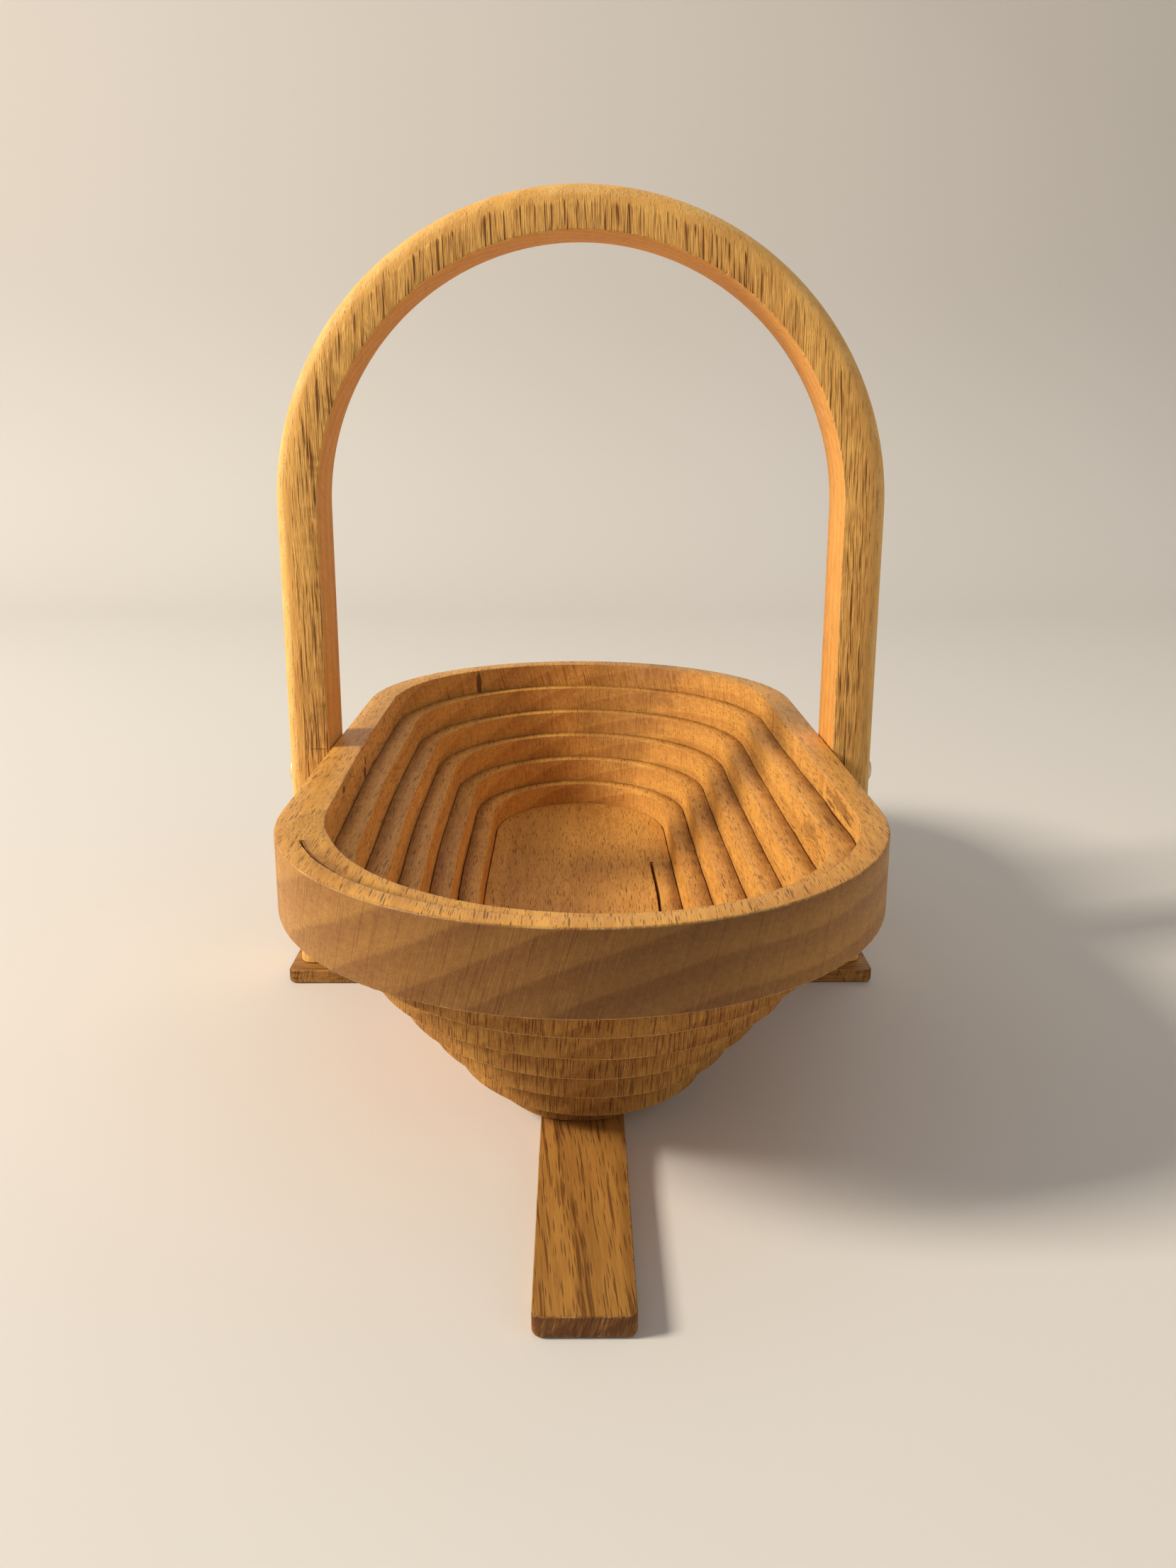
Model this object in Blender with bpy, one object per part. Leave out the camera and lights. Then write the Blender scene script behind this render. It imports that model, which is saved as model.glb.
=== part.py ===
"""Collapsible wooden basket on a lift-off stand.

One oval board is sawn along a single spiral kerf. Its sides lean inwards with depth, so each
turn drops until it wedges in the turn outside it, and the board opens into a stepped bowl.
An arched handle is screwed to the rim at both sides, and its legs stand in a cross of two laths.
X runs left to right, -Y is the front, Z is up and the floor is at zero.
"""
import math

import bmesh
import bpy
from mathutils import Vector

# The board, seen from above: straight sides with half an ellipse at each end
RIM_HALF_WIDTH = 0.0750
SIDE_HALF_LENGTH = 0.0726
END_DEPTH = 0.0835
BOARD_THICKNESS = 0.0192
FORWARD_SHIFT = 0.0071
RIM_EASING = 0.0005

# The spiral kerf
RIM_START_WIDTH = 0.0059
TURN_PITCH = 0.0070
TURN_DROP = 0.00823
KERF_BEVEL = math.radians(4.0)
KERF_SLACK = 0.0002
SEAT_GAP = 0.0003
FREE_TURNS = 5
KERF_START_ANGLE = math.radians(-70.0)
SLIT_SIDE_SHARE = 0.75

# How much of one pitch the kerf has moved inwards, against how far round the oval it has run
ROUND_SHARES = (0.0, 0.07, 0.27, 0.42, 0.85, 0.93, 1.0)
INWARD_SHARES = (0.0, 0.08, 0.24, 0.42, 0.48, 0.72, 1.0)

# How many drops a turn has sunk on its way round; the first turn starts flush with the rim
SINK_ROUND_SHARES = (0.0, 0.12, 0.20, 0.27, 0.32, 0.45, 0.77, 1.0)
SINK_SHARES = (0.20, 0.36, 0.55, 0.93, 1.0, 1.06, 1.10, 1.20)
FIRST_SINK_SHARES = (0.0, 0.22, 0.42, 0.68, 0.76, 0.98, 1.08, 1.20)
DEEPEST_STEP_SHARE = 1.25

# The handle: straight legs beside the board, then half a circle
HANDLE_SIDE_GAP = 0.0006
ARCH_LIFT = 0.0134
HANDLE_BREADTH = 0.0125
HANDLE_THICKNESS = 0.0234
HANDLE_ROUNDING = 0.0045
HANDLE_EASING = 0.0006

# The stand
CROSSBAR_OVERHANG = 0.0024
CROSSBAR_WIDTH = 0.0350
CROSSBAR_THICKNESS = 0.0044
LONG_FOOT_LENGTH = 0.3700
LONG_FOOT_WIDTH = 0.0201
LONG_FOOT_THICKNESS = 0.0050
FOOT_CORNER = 0.0035
FOOT_EASING = 0.0008

# Fasteners
PIVOT_SHANK_RADIUS = 0.0016
PIVOT_GRIP = 0.0055
PIVOT_HEAD_RADIUS = 0.0038
PIVOT_HEAD_HEIGHT = 0.0020
DOWEL_RADIUS = 0.0030
DOWEL_SEAT_DEPTH = 0.0150
DOWEL_FOOT_CLEARANCE = 0.0005
DOWEL_CHAMFER = 0.0004
FOOT_SCREW_RADIUS = 0.0012
FOOT_SCREW_HEAD_RADIUS = 0.0024
FOOT_SCREW_HEAD_HEIGHT = 0.0011
FOOT_SCREW_TIP_COVER = 0.0006
FOOT_SCREW_RECESS = 0.0001
SCREW_TIP_SHARE = 0.35
HEAD_RADIUS_SHARES = (1.0, 1.0, 0.8, 0.35)
HEAD_HEIGHT_SHARES = (0.0, 0.35, 0.8, 1.0)
CUT_OVERRUN = 0.0020

# Facets
END_SEGMENTS = 26
SIDE_SEGMENTS = 4
ARCH_SEGMENTS = 36
ROUNDING_SEGMENTS = 4
ROUND_SIDES = 20
SHARP_ANGLE = math.radians(35.0)

# Sizes that follow from those above
FRONT_SEGMENTS = round(END_SEGMENTS * (math.pi / 2 - KERF_START_ANGLE) / math.pi)
KERF_WIDTH = DEEPEST_STEP_SHARE * TURN_DROP * math.tan(KERF_BEVEL) + KERF_SLACK
BEVEL_RUN = BOARD_THICKNESS * math.tan(KERF_BEVEL)
FLOOR_BOTTOM = LONG_FOOT_THICKNESS + SEAT_GAP
RIM_TOP = FLOOR_BOTTOM + BOARD_THICKNESS + TURN_DROP * (FREE_TURNS + 1)
PIVOT_HEIGHT = RIM_TOP - BOARD_THICKNESS / 2
LEG_INNER = RIM_HALF_WIDTH + HANDLE_SIDE_GAP
LEG_OUTER = LEG_INNER + HANDLE_BREADTH
LEG_MIDDLE = LEG_INNER + HANDLE_BREADTH / 2
LEG_BOTTOM = CROSSBAR_THICKNESS + SEAT_GAP
ARCH_SPRING = PIVOT_HEIGHT + SIDE_HALF_LENGTH - FORWARD_SHIFT + ARCH_LIFT
CROSSBAR_LENGTH = 2 * (LEG_OUTER + CROSSBAR_OVERHANG)
LAP_HEIGHT = CROSSBAR_THICKNESS / 2


def bare_material(name, colour, roughness, metallic=0.0):
    """A new material of one colour."""
    material = bpy.data.materials.new(name)
    material.use_nodes = True
    shader = material.node_tree.nodes["Principled BSDF"]
    shader.inputs["Base Color"].default_value = (*colour, 1.0)
    shader.inputs["Roughness"].default_value = roughness
    shader.inputs["Metallic"].default_value = metallic
    return material


def board_oak(piece):
    """Oiled oak for one piece of the board."""
    return bare_material(piece + "_oak", (0.55, 0.27, 0.085), 0.5)


def handle_oak(piece):
    """The handle's lighter oak."""
    return bare_material(piece + "_oak", (0.62, 0.35, 0.11), 0.5)


def lath_oak(piece):
    """Oak with a strong grain for one lath of the stand."""
    return bare_material(piece + "_oak", (0.52, 0.26, 0.09), 0.55)


def dowel_beech(piece):
    """Plain pale beech for one dowel."""
    return bare_material(piece + "_beech", (0.66, 0.45, 0.22), 0.6)


def screw_brass(piece):
    """Satin brass for one screw."""
    return bare_material(piece + "_brass", (0.66, 0.47, 0.19), 0.35, 1.0)


def add_object(name, points, faces, finish, origin=Vector((0.0, 0.0, 0.0))):
    """Make one closed mesh object from world points, with its origin where the piece turns."""
    mesh = bpy.data.meshes.new(name)
    mesh.from_pydata([Vector(point) - origin for point in points], [], faces)
    work = bmesh.new()
    work.from_mesh(mesh)
    bmesh.ops.recalc_face_normals(work, faces=work.faces)
    work.to_mesh(mesh)
    work.free()
    mesh.shade_smooth()
    mesh.set_sharp_from_angle(angle=SHARP_ANGLE)
    mesh.materials.append(finish(name))
    obj = bpy.data.objects.new(name, mesh)
    obj.location = origin
    bpy.context.scene.collection.objects.link(obj)
    return obj


def cut(target, cutter):
    """Take one solid away from another."""
    cutter.hide_render = True
    cutter.display_type = "WIRE"
    modifier = target.modifiers.new("cut_" + cutter.name, "BOOLEAN")
    modifier.operation = "DIFFERENCE"
    modifier.solver = "EXACT"
    modifier.object = cutter


def read_table(value, knots, results):
    """Read a table of rising shares at one place, along a smooth curve through its entries."""
    rises = []
    for (before, after), (low, high) in zip(zip(knots, knots[1:]), zip(results, results[1:])):
        rises.append((high - low) / (after - before))
    slopes = [rises[0]]
    for before, after in zip(rises, rises[1:]):
        slopes.append(2.0 * before * after / (before + after))
    slopes.append(rises[-1])
    index = max(index for index in range(len(rises)) if knots[index] <= value)
    span = knots[index + 1] - knots[index]
    part = (value - knots[index]) / span
    rest = 1.0 - part
    low = results[index] * (1.0 + 2.0 * part) + slopes[index] * span * part
    high = results[index + 1] * (1.0 + 2.0 * rest) - slopes[index + 1] * span * rest
    return low * rest * rest + high * part * part


def end_station(angle, end_sign):
    """A point on an elliptical end, with its inward normal; angle nought is the very front."""
    point = Vector((
        RIM_HALF_WIDTH * math.sin(angle),
        end_sign * SIDE_HALF_LENGTH - END_DEPTH * math.cos(angle) - FORWARD_SHIFT,
    ))
    normal = Vector((-END_DEPTH * math.sin(angle), RIM_HALF_WIDTH * math.cos(angle)))
    return point, normal.normalized()


def side_station(part, side_sign):
    """A point on a straight side, part of the way along in the direction of travel."""
    along = side_sign * SIDE_HALF_LENGTH * (2.0 * part - 1.0)
    return Vector((side_sign * RIM_HALF_WIDTH, along - FORWARD_SHIFT)), Vector((-side_sign, 0.0))


def outline_stations():
    """Stations once round the oval from the start of the kerf, each with its share of the way."""
    quarter = math.pi / 2
    stations = []
    for index in range(FRONT_SEGMENTS):
        angle = KERF_START_ANGLE + (quarter - KERF_START_ANGLE) * index / FRONT_SEGMENTS
        stations.append(end_station(angle, -1))
    for index in range(SIDE_SEGMENTS):
        stations.append(side_station(index / SIDE_SEGMENTS, 1))
    for index in range(END_SEGMENTS):
        stations.append(end_station(quarter + math.pi * index / END_SEGMENTS, 1))
    for index in range(SIDE_SEGMENTS):
        stations.append(side_station(index / SIDE_SEGMENTS, -1))
    last_count = END_SEGMENTS - FRONT_SEGMENTS
    for index in range(last_count + 1):
        angle = -quarter + (KERF_START_ANGLE + quarter) * index / last_count
        stations.append(end_station(angle, -1))
    lengths = [0.0]
    for (before, _), (after, _) in zip(stations, stations[1:]):
        lengths.append(lengths[-1] + (after - before).length)
    return [
        {"point": point, "normal": normal, "share": length / lengths[-1]}
        for (point, normal), length in zip(stations, lengths)
    ]


STATIONS = outline_stations()


def kerf_offset(kerf_pass, share):
    """Distance of the kerf's middle from the board's edge, at the board's top face."""
    inward = read_table(share, ROUND_SHARES, INWARD_SHARES)
    return RIM_START_WIDTH + TURN_PITCH * (kerf_pass + inward)


def turn_level(turn, share):
    """Height of a turn's top face; it never sinks below the floor's."""
    sinks = FIRST_SINK_SHARES if turn == 1 else SINK_SHARES
    drops = turn - 1.0 + read_table(share, SINK_ROUND_SHARES, sinks)
    return RIM_TOP - TURN_DROP * min(drops, FREE_TURNS + 1.0)


def turn_corner(station, level, offset, depth, shift=0.0):
    """One corner of a turn's section: offset from the edge at its top, then down the bevel."""
    tangent = Vector((station["normal"].y, -station["normal"].x))
    top = station["point"] + station["normal"] * offset + tangent * shift
    place = top + station["normal"] * depth * math.tan(KERF_BEVEL)
    return (place.x, place.y, level - depth)


def turn_section(station, turn, shift=0.0):
    """The four corners of a turn at one station, from its outer top round to its inner top."""
    level = turn_level(turn, station["share"])
    outer = kerf_offset(turn - 1, station["share"]) + KERF_WIDTH / 2
    inner = kerf_offset(turn, station["share"]) - KERF_WIDTH / 2
    return [
        turn_corner(station, level, outer, 0.0, shift),
        turn_corner(station, level, outer, BOARD_THICKNESS, shift),
        turn_corner(station, level, inner, BOARD_THICKNESS, shift),
        turn_corner(station, level, inner, 0.0, shift),
    ]


def loft(sections, closed=False, capped=True):
    """Skin a row of equal sections into points and faces."""
    size = len(sections[0])
    points = [corner for section in sections for corner in section]
    faces = []
    for index in range(len(sections) if closed else len(sections) - 1):
        here = index * size
        there = (index + 1) % len(sections) * size
        for side in range(size):
            across = (side + 1) % size
            faces.append((here + side, there + side, there + across, here + across))
    if capped and not closed:
        faces.append(tuple(range(size)))
        faces.append(tuple(reversed(range(len(points) - size, len(points)))))
    return points, faces


def make_turn(turn):
    """One free turn of the spiral, from the kerf's start line once round to it."""
    sections = [turn_section(STATIONS[0], turn, SEAT_GAP)]
    for station in STATIONS[1:]:
        sections.append(turn_section(station, turn))
    points, faces = loft(sections)
    return add_object(f"turn_{turn}", points, faces, board_oak)


def make_rim():
    """The outermost turn: a plain outer wall, and a spiral inner wall with one radial step."""
    count = len(STATIONS) - 1
    rim_bottom = RIM_TOP - BOARD_THICKNESS
    points = []
    for inset, height in ((RIM_EASING, RIM_TOP), (0.0, RIM_TOP - RIM_EASING),
                          (0.0, rim_bottom + RIM_EASING), (RIM_EASING, rim_bottom)):
        for station in STATIONS[:-1]:
            place = station["point"] + station["normal"] * inset
            points.append((place.x, place.y, height))
    low = 3 * count
    inner = 4 * count
    inner_low = inner + count + 1
    for depth in (0.0, BOARD_THICKNESS):
        for station in STATIONS:
            offset = kerf_offset(0, station["share"]) - KERF_WIDTH / 2
            points.append(turn_corner(station, RIM_TOP, offset, depth))
    faces = []
    for index in range(count):
        after = (index + 1) % count
        for ring in (0, count, 2 * count):
            below = ring + count
            faces.append((ring + index, ring + after, below + after, below + index))
        faces.append((inner + index, inner_low + index, inner_low + index + 1, inner + index + 1))
        if index < count - 1:
            faces.append((index, inner + index, inner + index + 1, after))
            faces.append((low + index, low + after, inner_low + index + 1, inner_low + index))
    last = count - 1
    faces.append((last, inner + last, inner + count, inner, 0))
    faces.append((low + last, low, inner_low, inner_low + count, inner_low + last))
    faces.append((inner, inner + count, inner_low + count, inner_low))
    pivot = Vector((0.0, 0.0, PIVOT_HEIGHT))
    return add_object("rim", points, faces, board_oak, pivot)


def make_floor():
    """The bowl's floor, with the last strip of the spiral still joined to it at the slit's end."""
    strip = FREE_TURNS + 1
    end = FRONT_SEGMENTS + round(SIDE_SEGMENTS * SLIT_SIDE_SHARE)
    floor_level = FLOOR_BOTTOM + BOARD_THICKNESS
    rims = []
    for depth in (0.0, BOARD_THICKNESS):
        outer = []
        for index, station in enumerate(STATIONS):
            level = turn_level(strip, station["share"])
            offset = kerf_offset(FREE_TURNS, station["share"]) + KERF_WIDTH / 2
            shift = SEAT_GAP if index == 0 else 0.0
            outer.append(turn_corner(station, level, offset, depth, shift))
        slit_outer = []
        slit_inner = []
        for index, station in enumerate(STATIONS[:end + 1]):
            level = turn_level(strip, station["share"])
            middle = kerf_offset(strip, station["share"])
            shift = SEAT_GAP if index == 0 else 0.0
            slit_outer.append(turn_corner(station, level, middle - KERF_WIDTH / 2, depth, shift))
            if index > 0:
                offset = middle + KERF_WIDTH / 2
                slit_inner.append(turn_corner(station, floor_level, offset, depth))
        rims.append(outer + slit_inner + list(reversed(slit_outer)))
    count = len(rims[0])
    points = rims[0] + rims[1]
    faces = []
    for index in range(count):
        after = (index + 1) % count
        faces.append((index, count + index, count + after, after))
    for index in range(end):
        inner = count - 1 - index
        faces.append((index, index + 1, inner - 1, inner))
        faces.append((count + index, count + inner, count + inner - 1, count + index + 1))
    plate = list(range(end, count - end))
    faces.append(tuple(plate))
    faces.append(tuple(count + index for index in reversed(plate)))
    return add_object("basket_floor", points, faces, board_oak)


def handle_section_profile():
    """The handle's section as distance from its inner edge and place across its thickness."""
    half = HANDLE_THICKNESS / 2
    profile = [
        (HANDLE_EASING, -half),
        (0.0, -half + HANDLE_EASING),
        (0.0, half - HANDLE_EASING),
        (HANDLE_EASING, half),
    ]
    for side in (1, -1):
        for index in range(ROUNDING_SEGMENTS + 1):
            turn = math.pi / 2 * index / ROUNDING_SEGMENTS
            if side < 0:
                turn = math.pi / 2 - turn
            outward = HANDLE_BREADTH - HANDLE_ROUNDING + HANDLE_ROUNDING * math.sin(turn)
            across = half - HANDLE_ROUNDING + HANDLE_ROUNDING * math.cos(turn)
            profile.append((outward, side * across))
    return profile


def make_handle():
    """The arched handle with its two legs, swept in one piece over the basket."""
    path = [(Vector((-LEG_INNER, LEG_BOTTOM)), Vector((-1.0, 0.0)))]
    for index in range(ARCH_SEGMENTS + 1):
        angle = math.pi - math.pi * index / ARCH_SEGMENTS
        outward = Vector((math.cos(angle), math.sin(angle)))
        path.append((Vector((0.0, ARCH_SPRING)) + outward * LEG_INNER, outward))
    path.append((Vector((LEG_INNER, LEG_BOTTOM)), Vector((1.0, 0.0))))
    profile = handle_section_profile()
    sections = []
    for point, outward in path:
        section = []
        for distance, across in profile:
            place = point + outward * distance
            section.append((place.x, across, place.y))
        sections.append(section)
    points, faces = loft(sections)
    handle = add_object("handle", points, faces, handle_oak)
    for side, sign in (("left", -1), ("right", 1)):
        hole = round_piece(
            f"cut_pivot_{side}",
            [(PIVOT_SHANK_RADIUS + SEAT_GAP, LEG_INNER - CUT_OVERRUN),
             (PIVOT_SHANK_RADIUS + SEAT_GAP, LEG_OUTER + CUT_OVERRUN)],
            Vector((0.0, 0.0, PIVOT_HEIGHT)), Vector((sign, 0.0, 0.0)), handle_oak)
        socket = round_piece(
            f"cut_dowel_{side}",
            [(DOWEL_RADIUS + SEAT_GAP, -CUT_OVERRUN),
             (DOWEL_RADIUS + SEAT_GAP, DOWEL_SEAT_DEPTH + SEAT_GAP)],
            Vector((sign * LEG_MIDDLE, 0.0, LEG_BOTTOM)), Vector((0.0, 0.0, 1.0)), handle_oak)
        cut(handle, hole)
        cut(handle, socket)
    return handle


def round_piece(name, profile, origin, axis, finish):
    """A turned piece: rings of (radius, distance along the axis), closed at both ends."""
    side = axis.orthogonal().normalized()
    other = axis.cross(side)
    sections = []
    for radius, along in profile:
        ring = []
        for index in range(ROUND_SIDES):
            turn = 2.0 * math.pi * index / ROUND_SIDES
            spoke = side * math.cos(turn) + other * math.sin(turn)
            ring.append(origin + axis * along + spoke * radius)
        sections.append(ring)
    points, faces = loft(sections)
    return add_object(name, points, faces, finish, origin)


def make_pivot_screw(side, sign):
    """A round-headed screw through one leg into the rim, on the line that the basket tilts on."""
    seat = LEG_OUTER + SEAT_GAP
    tip = RIM_HALF_WIDTH - PIVOT_GRIP
    profile = [
        (PIVOT_SHANK_RADIUS * SCREW_TIP_SHARE, tip),
        (PIVOT_SHANK_RADIUS, tip + PIVOT_SHANK_RADIUS),
        (PIVOT_SHANK_RADIUS, seat),
    ]
    for radius_share, height_share in zip(HEAD_RADIUS_SHARES, HEAD_HEIGHT_SHARES):
        profile.append((PIVOT_HEAD_RADIUS * radius_share, seat + PIVOT_HEAD_HEIGHT * height_share))
    origin = Vector((0.0, 0.0, PIVOT_HEIGHT))
    axis = Vector((sign, 0.0, 0.0))
    return round_piece(f"pivot_screw_{side}", profile, origin, axis, screw_brass)


def cut_rim_pivots(rim):
    """Blind holes in the rim's sides for the two pivot screws."""
    for side, sign in (("left", -1), ("right", 1)):
        profile = [
            (PIVOT_SHANK_RADIUS + SEAT_GAP, RIM_HALF_WIDTH - PIVOT_GRIP - SEAT_GAP),
            (PIVOT_SHANK_RADIUS + SEAT_GAP, RIM_HALF_WIDTH + CUT_OVERRUN),
        ]
        hole = round_piece(f"cut_rim_{side}", profile, Vector((0.0, 0.0, PIVOT_HEIGHT)),
                           Vector((sign, 0.0, 0.0)), board_oak)
        cut(rim, hole)


def make_leg_dowel(side, sign):
    """A dowel glued up into one leg, whose end drops into the crossbar."""
    bottom = DOWEL_FOOT_CLEARANCE
    top = LEG_BOTTOM + DOWEL_SEAT_DEPTH
    profile = [
        (DOWEL_RADIUS - DOWEL_CHAMFER, bottom),
        (DOWEL_RADIUS, bottom + DOWEL_CHAMFER),
        (DOWEL_RADIUS, top - DOWEL_CHAMFER),
        (DOWEL_RADIUS - DOWEL_CHAMFER, top),
    ]
    origin = Vector((sign * LEG_MIDDLE, 0.0, 0.0))
    up = Vector((0.0, 0.0, 1.0))
    return round_piece(f"leg_dowel_{side}", profile, origin, up, dowel_beech)


def lath_outline(length, width):
    """A long rectangle in plan with rounded corners, as (along, across)."""
    outline = []
    for quadrant, (end, side) in enumerate(((1, 1), (-1, 1), (-1, -1), (1, -1))):
        for index in range(ROUNDING_SEGMENTS + 1):
            turn = math.pi / 2 * (quadrant + index / ROUNDING_SEGMENTS)
            along = end * (length / 2 - FOOT_CORNER) + FOOT_CORNER * math.cos(turn)
            across = side * (width / 2 - FOOT_CORNER) + FOOT_CORNER * math.sin(turn)
            outline.append((along, across))
    return outline


def make_lath(name, length, width, thickness, along_x):
    """A flat lath on the floor with rounded corners and eased edges."""
    sections = []
    inset = FOOT_EASING
    for height, shrink in ((0.0, inset), (inset, 0.0), (thickness - inset / 2, 0.0),
                           (thickness, inset / 2)):
        section = []
        for along, across in lath_outline(length, width):
            along *= 1.0 - 2.0 * shrink / length
            across *= 1.0 - 2.0 * shrink / width
            place = (along, across, height) if along_x else (-across, along, height)
            section.append(place)
        sections.append(section)
    points, faces = loft(sections)
    return add_object(name, points, faces, lath_oak)


def box_cutter(name, half_x, half_y, bottom, top):
    """A plain block that cuts a housing."""
    corners = [(-half_x, -half_y), (half_x, -half_y), (half_x, half_y), (-half_x, half_y)]
    sections = [[(x, y, height) for x, y in corners] for height in (bottom, top)]
    points, faces = loft(sections)
    return add_object(name, points, faces, lath_oak)


def make_stand():
    """Two laths housed into each other at the middle and held by one countersunk screw."""
    crossbar = make_lath("crossbar", CROSSBAR_LENGTH, CROSSBAR_WIDTH, CROSSBAR_THICKNESS, True)
    long_foot = make_lath("long_foot", LONG_FOOT_LENGTH, LONG_FOOT_WIDTH, LONG_FOOT_THICKNESS,
                          False)
    notch = box_cutter("cut_crossbar_lap", LONG_FOOT_WIDTH / 2 + SEAT_GAP,
                       CROSSBAR_WIDTH / 2 + CUT_OVERRUN, LAP_HEIGHT,
                       CROSSBAR_THICKNESS + CUT_OVERRUN)
    cut(crossbar, notch)
    housing = box_cutter("cut_foot_lap", LONG_FOOT_WIDTH / 2 + CUT_OVERRUN,
                         CROSSBAR_WIDTH / 2 + SEAT_GAP, -CUT_OVERRUN, LAP_HEIGHT + SEAT_GAP)
    cut(long_foot, housing)
    up = Vector((0.0, 0.0, 1.0))
    for side, sign in (("left", -1), ("right", 1)):
        hole = round_piece(f"cut_crossbar_{side}",
                           [(DOWEL_RADIUS + SEAT_GAP, -CUT_OVERRUN),
                            (DOWEL_RADIUS + SEAT_GAP, CROSSBAR_THICKNESS + CUT_OVERRUN)],
                           Vector((sign * LEG_MIDDLE, 0.0, 0.0)), up, lath_oak)
        cut(crossbar, hole)
    tip = LONG_FOOT_THICKNESS - FOOT_SCREW_TIP_COVER
    head_top = FOOT_SCREW_RECESS + FOOT_SCREW_HEAD_HEIGHT
    floor = Vector((0.0, 0.0, 0.0))
    round_piece("foot_screw",
                [(FOOT_SCREW_HEAD_RADIUS, FOOT_SCREW_RECESS),
                 (FOOT_SCREW_RADIUS, head_top),
                 (FOOT_SCREW_RADIUS, tip - FOOT_SCREW_RADIUS / 2),
                 (FOOT_SCREW_RADIUS * SCREW_TIP_SHARE, tip)],
                floor, up, screw_brass)
    sink = round_piece("cut_foot_screw",
                       [(FOOT_SCREW_HEAD_RADIUS + SEAT_GAP, -CUT_OVERRUN),
                        (FOOT_SCREW_HEAD_RADIUS + SEAT_GAP, FOOT_SCREW_RECESS),
                        (FOOT_SCREW_RADIUS + SEAT_GAP, head_top),
                        (FOOT_SCREW_RADIUS + SEAT_GAP, tip + SEAT_GAP)],
                       floor, up, lath_oak)
    cut(crossbar, sink)
    cut(long_foot, sink)


def main():
    for obj in list(bpy.data.objects):
        bpy.data.objects.remove(obj)
    make_stand()
    make_handle()
    rim = make_rim()
    cut_rim_pivots(rim)
    for turn in range(1, FREE_TURNS + 1):
        make_turn(turn)
    make_floor()
    for side, sign in (("left", -1), ("right", 1)):
        make_pivot_screw(side, sign)
        make_leg_dowel(side, sign)


main()
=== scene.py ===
"""Looks of the collapsible wooden basket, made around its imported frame.

One board of oak is sawn along a spiral and hangs open as a stepped bowl between the legs of an
arched handle, which stands in a cross of two laths. X runs left to right, -Y is the front, Z is up.
"""
import math

import bmesh
import bpy
from bpy.props import FloatProperty, FloatVectorProperty, IntProperty, PointerProperty
from mathutils import Euler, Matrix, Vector


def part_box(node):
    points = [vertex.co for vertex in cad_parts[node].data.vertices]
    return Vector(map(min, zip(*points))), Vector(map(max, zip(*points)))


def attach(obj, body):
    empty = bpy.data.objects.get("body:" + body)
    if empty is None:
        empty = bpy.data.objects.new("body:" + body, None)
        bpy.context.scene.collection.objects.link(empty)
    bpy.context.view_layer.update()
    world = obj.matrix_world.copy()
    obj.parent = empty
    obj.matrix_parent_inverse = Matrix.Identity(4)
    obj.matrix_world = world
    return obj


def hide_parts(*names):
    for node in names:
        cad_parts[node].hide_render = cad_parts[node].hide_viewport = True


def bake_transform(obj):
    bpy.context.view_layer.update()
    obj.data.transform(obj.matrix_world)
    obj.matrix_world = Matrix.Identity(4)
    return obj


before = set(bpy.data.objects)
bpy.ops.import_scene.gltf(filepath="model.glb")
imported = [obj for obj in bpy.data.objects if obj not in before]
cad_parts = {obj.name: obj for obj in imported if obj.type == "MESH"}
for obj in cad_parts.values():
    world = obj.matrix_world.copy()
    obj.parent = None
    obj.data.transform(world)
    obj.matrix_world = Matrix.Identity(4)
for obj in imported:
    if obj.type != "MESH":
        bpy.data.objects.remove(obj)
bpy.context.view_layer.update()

bl_info = {
    "name": "Spiral Basket",
    "version": (1, 0, 0),
    "blender": (4, 5, 0),
    "location": "3D View > Sidebar > Basket",
    "description": "Makes a collapsible basket sawn from one board, with its handle and stand",
    "category": "Add Mesh",
}

RIM_LOW, RIM_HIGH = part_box("rim")
FLOOR_LOW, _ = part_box("basket_floor")
HANDLE_LOW, HANDLE_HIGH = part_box("handle")
CROSSBAR_LOW, CROSSBAR_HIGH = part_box("crossbar")
FOOT_LOW, FOOT_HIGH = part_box("long_foot")

# How much of one pitch the kerf has moved inwards, against how far round the oval it has run
ROUND_SHARES = (0.0, 0.07, 0.27, 0.42, 0.85, 0.93, 1.0)
INWARD_SHARES = (0.0, 0.08, 0.24, 0.42, 0.48, 0.72, 1.0)

# How many drops a turn has sunk on its way round; the first turn starts flush with the rim
SINK_ROUND_SHARES = (0.0, 0.12, 0.20, 0.27, 0.32, 0.45, 0.77, 1.0)
SINK_SHARES = (0.20, 0.36, 0.55, 0.93, 1.0, 1.06, 1.10, 1.20)
FIRST_SINK_SHARES = (0.0, 0.22, 0.42, 0.68, 0.76, 0.98, 1.08, 1.20)

# Where the gap beside a turn widens: how far its start reaches, and the corner's middle and reach
START_GAP_SHARE = 0.14
CORNER_GAP_SHARES = (0.292, 0.034)

# How often the slit in the floor strays on one way round the board
CROOK_WAVES = 60.0
CROOK_RIPPLES = 23.0

# The oiled wood's gloss, how much of the saw's work is left on the sanded inner walls, how far the
# laths' streaks lean, and what stands for far from a face's edge
OIL_SPECULAR = 0.22
OIL_COAT_ROUGHNESS = 0.28
INNER_WALL_SHARE = 0.32
STREAK_LEAN = 0.065
FAR_ACROSS = 1.0
MILLIMETRE = 0.001

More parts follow.
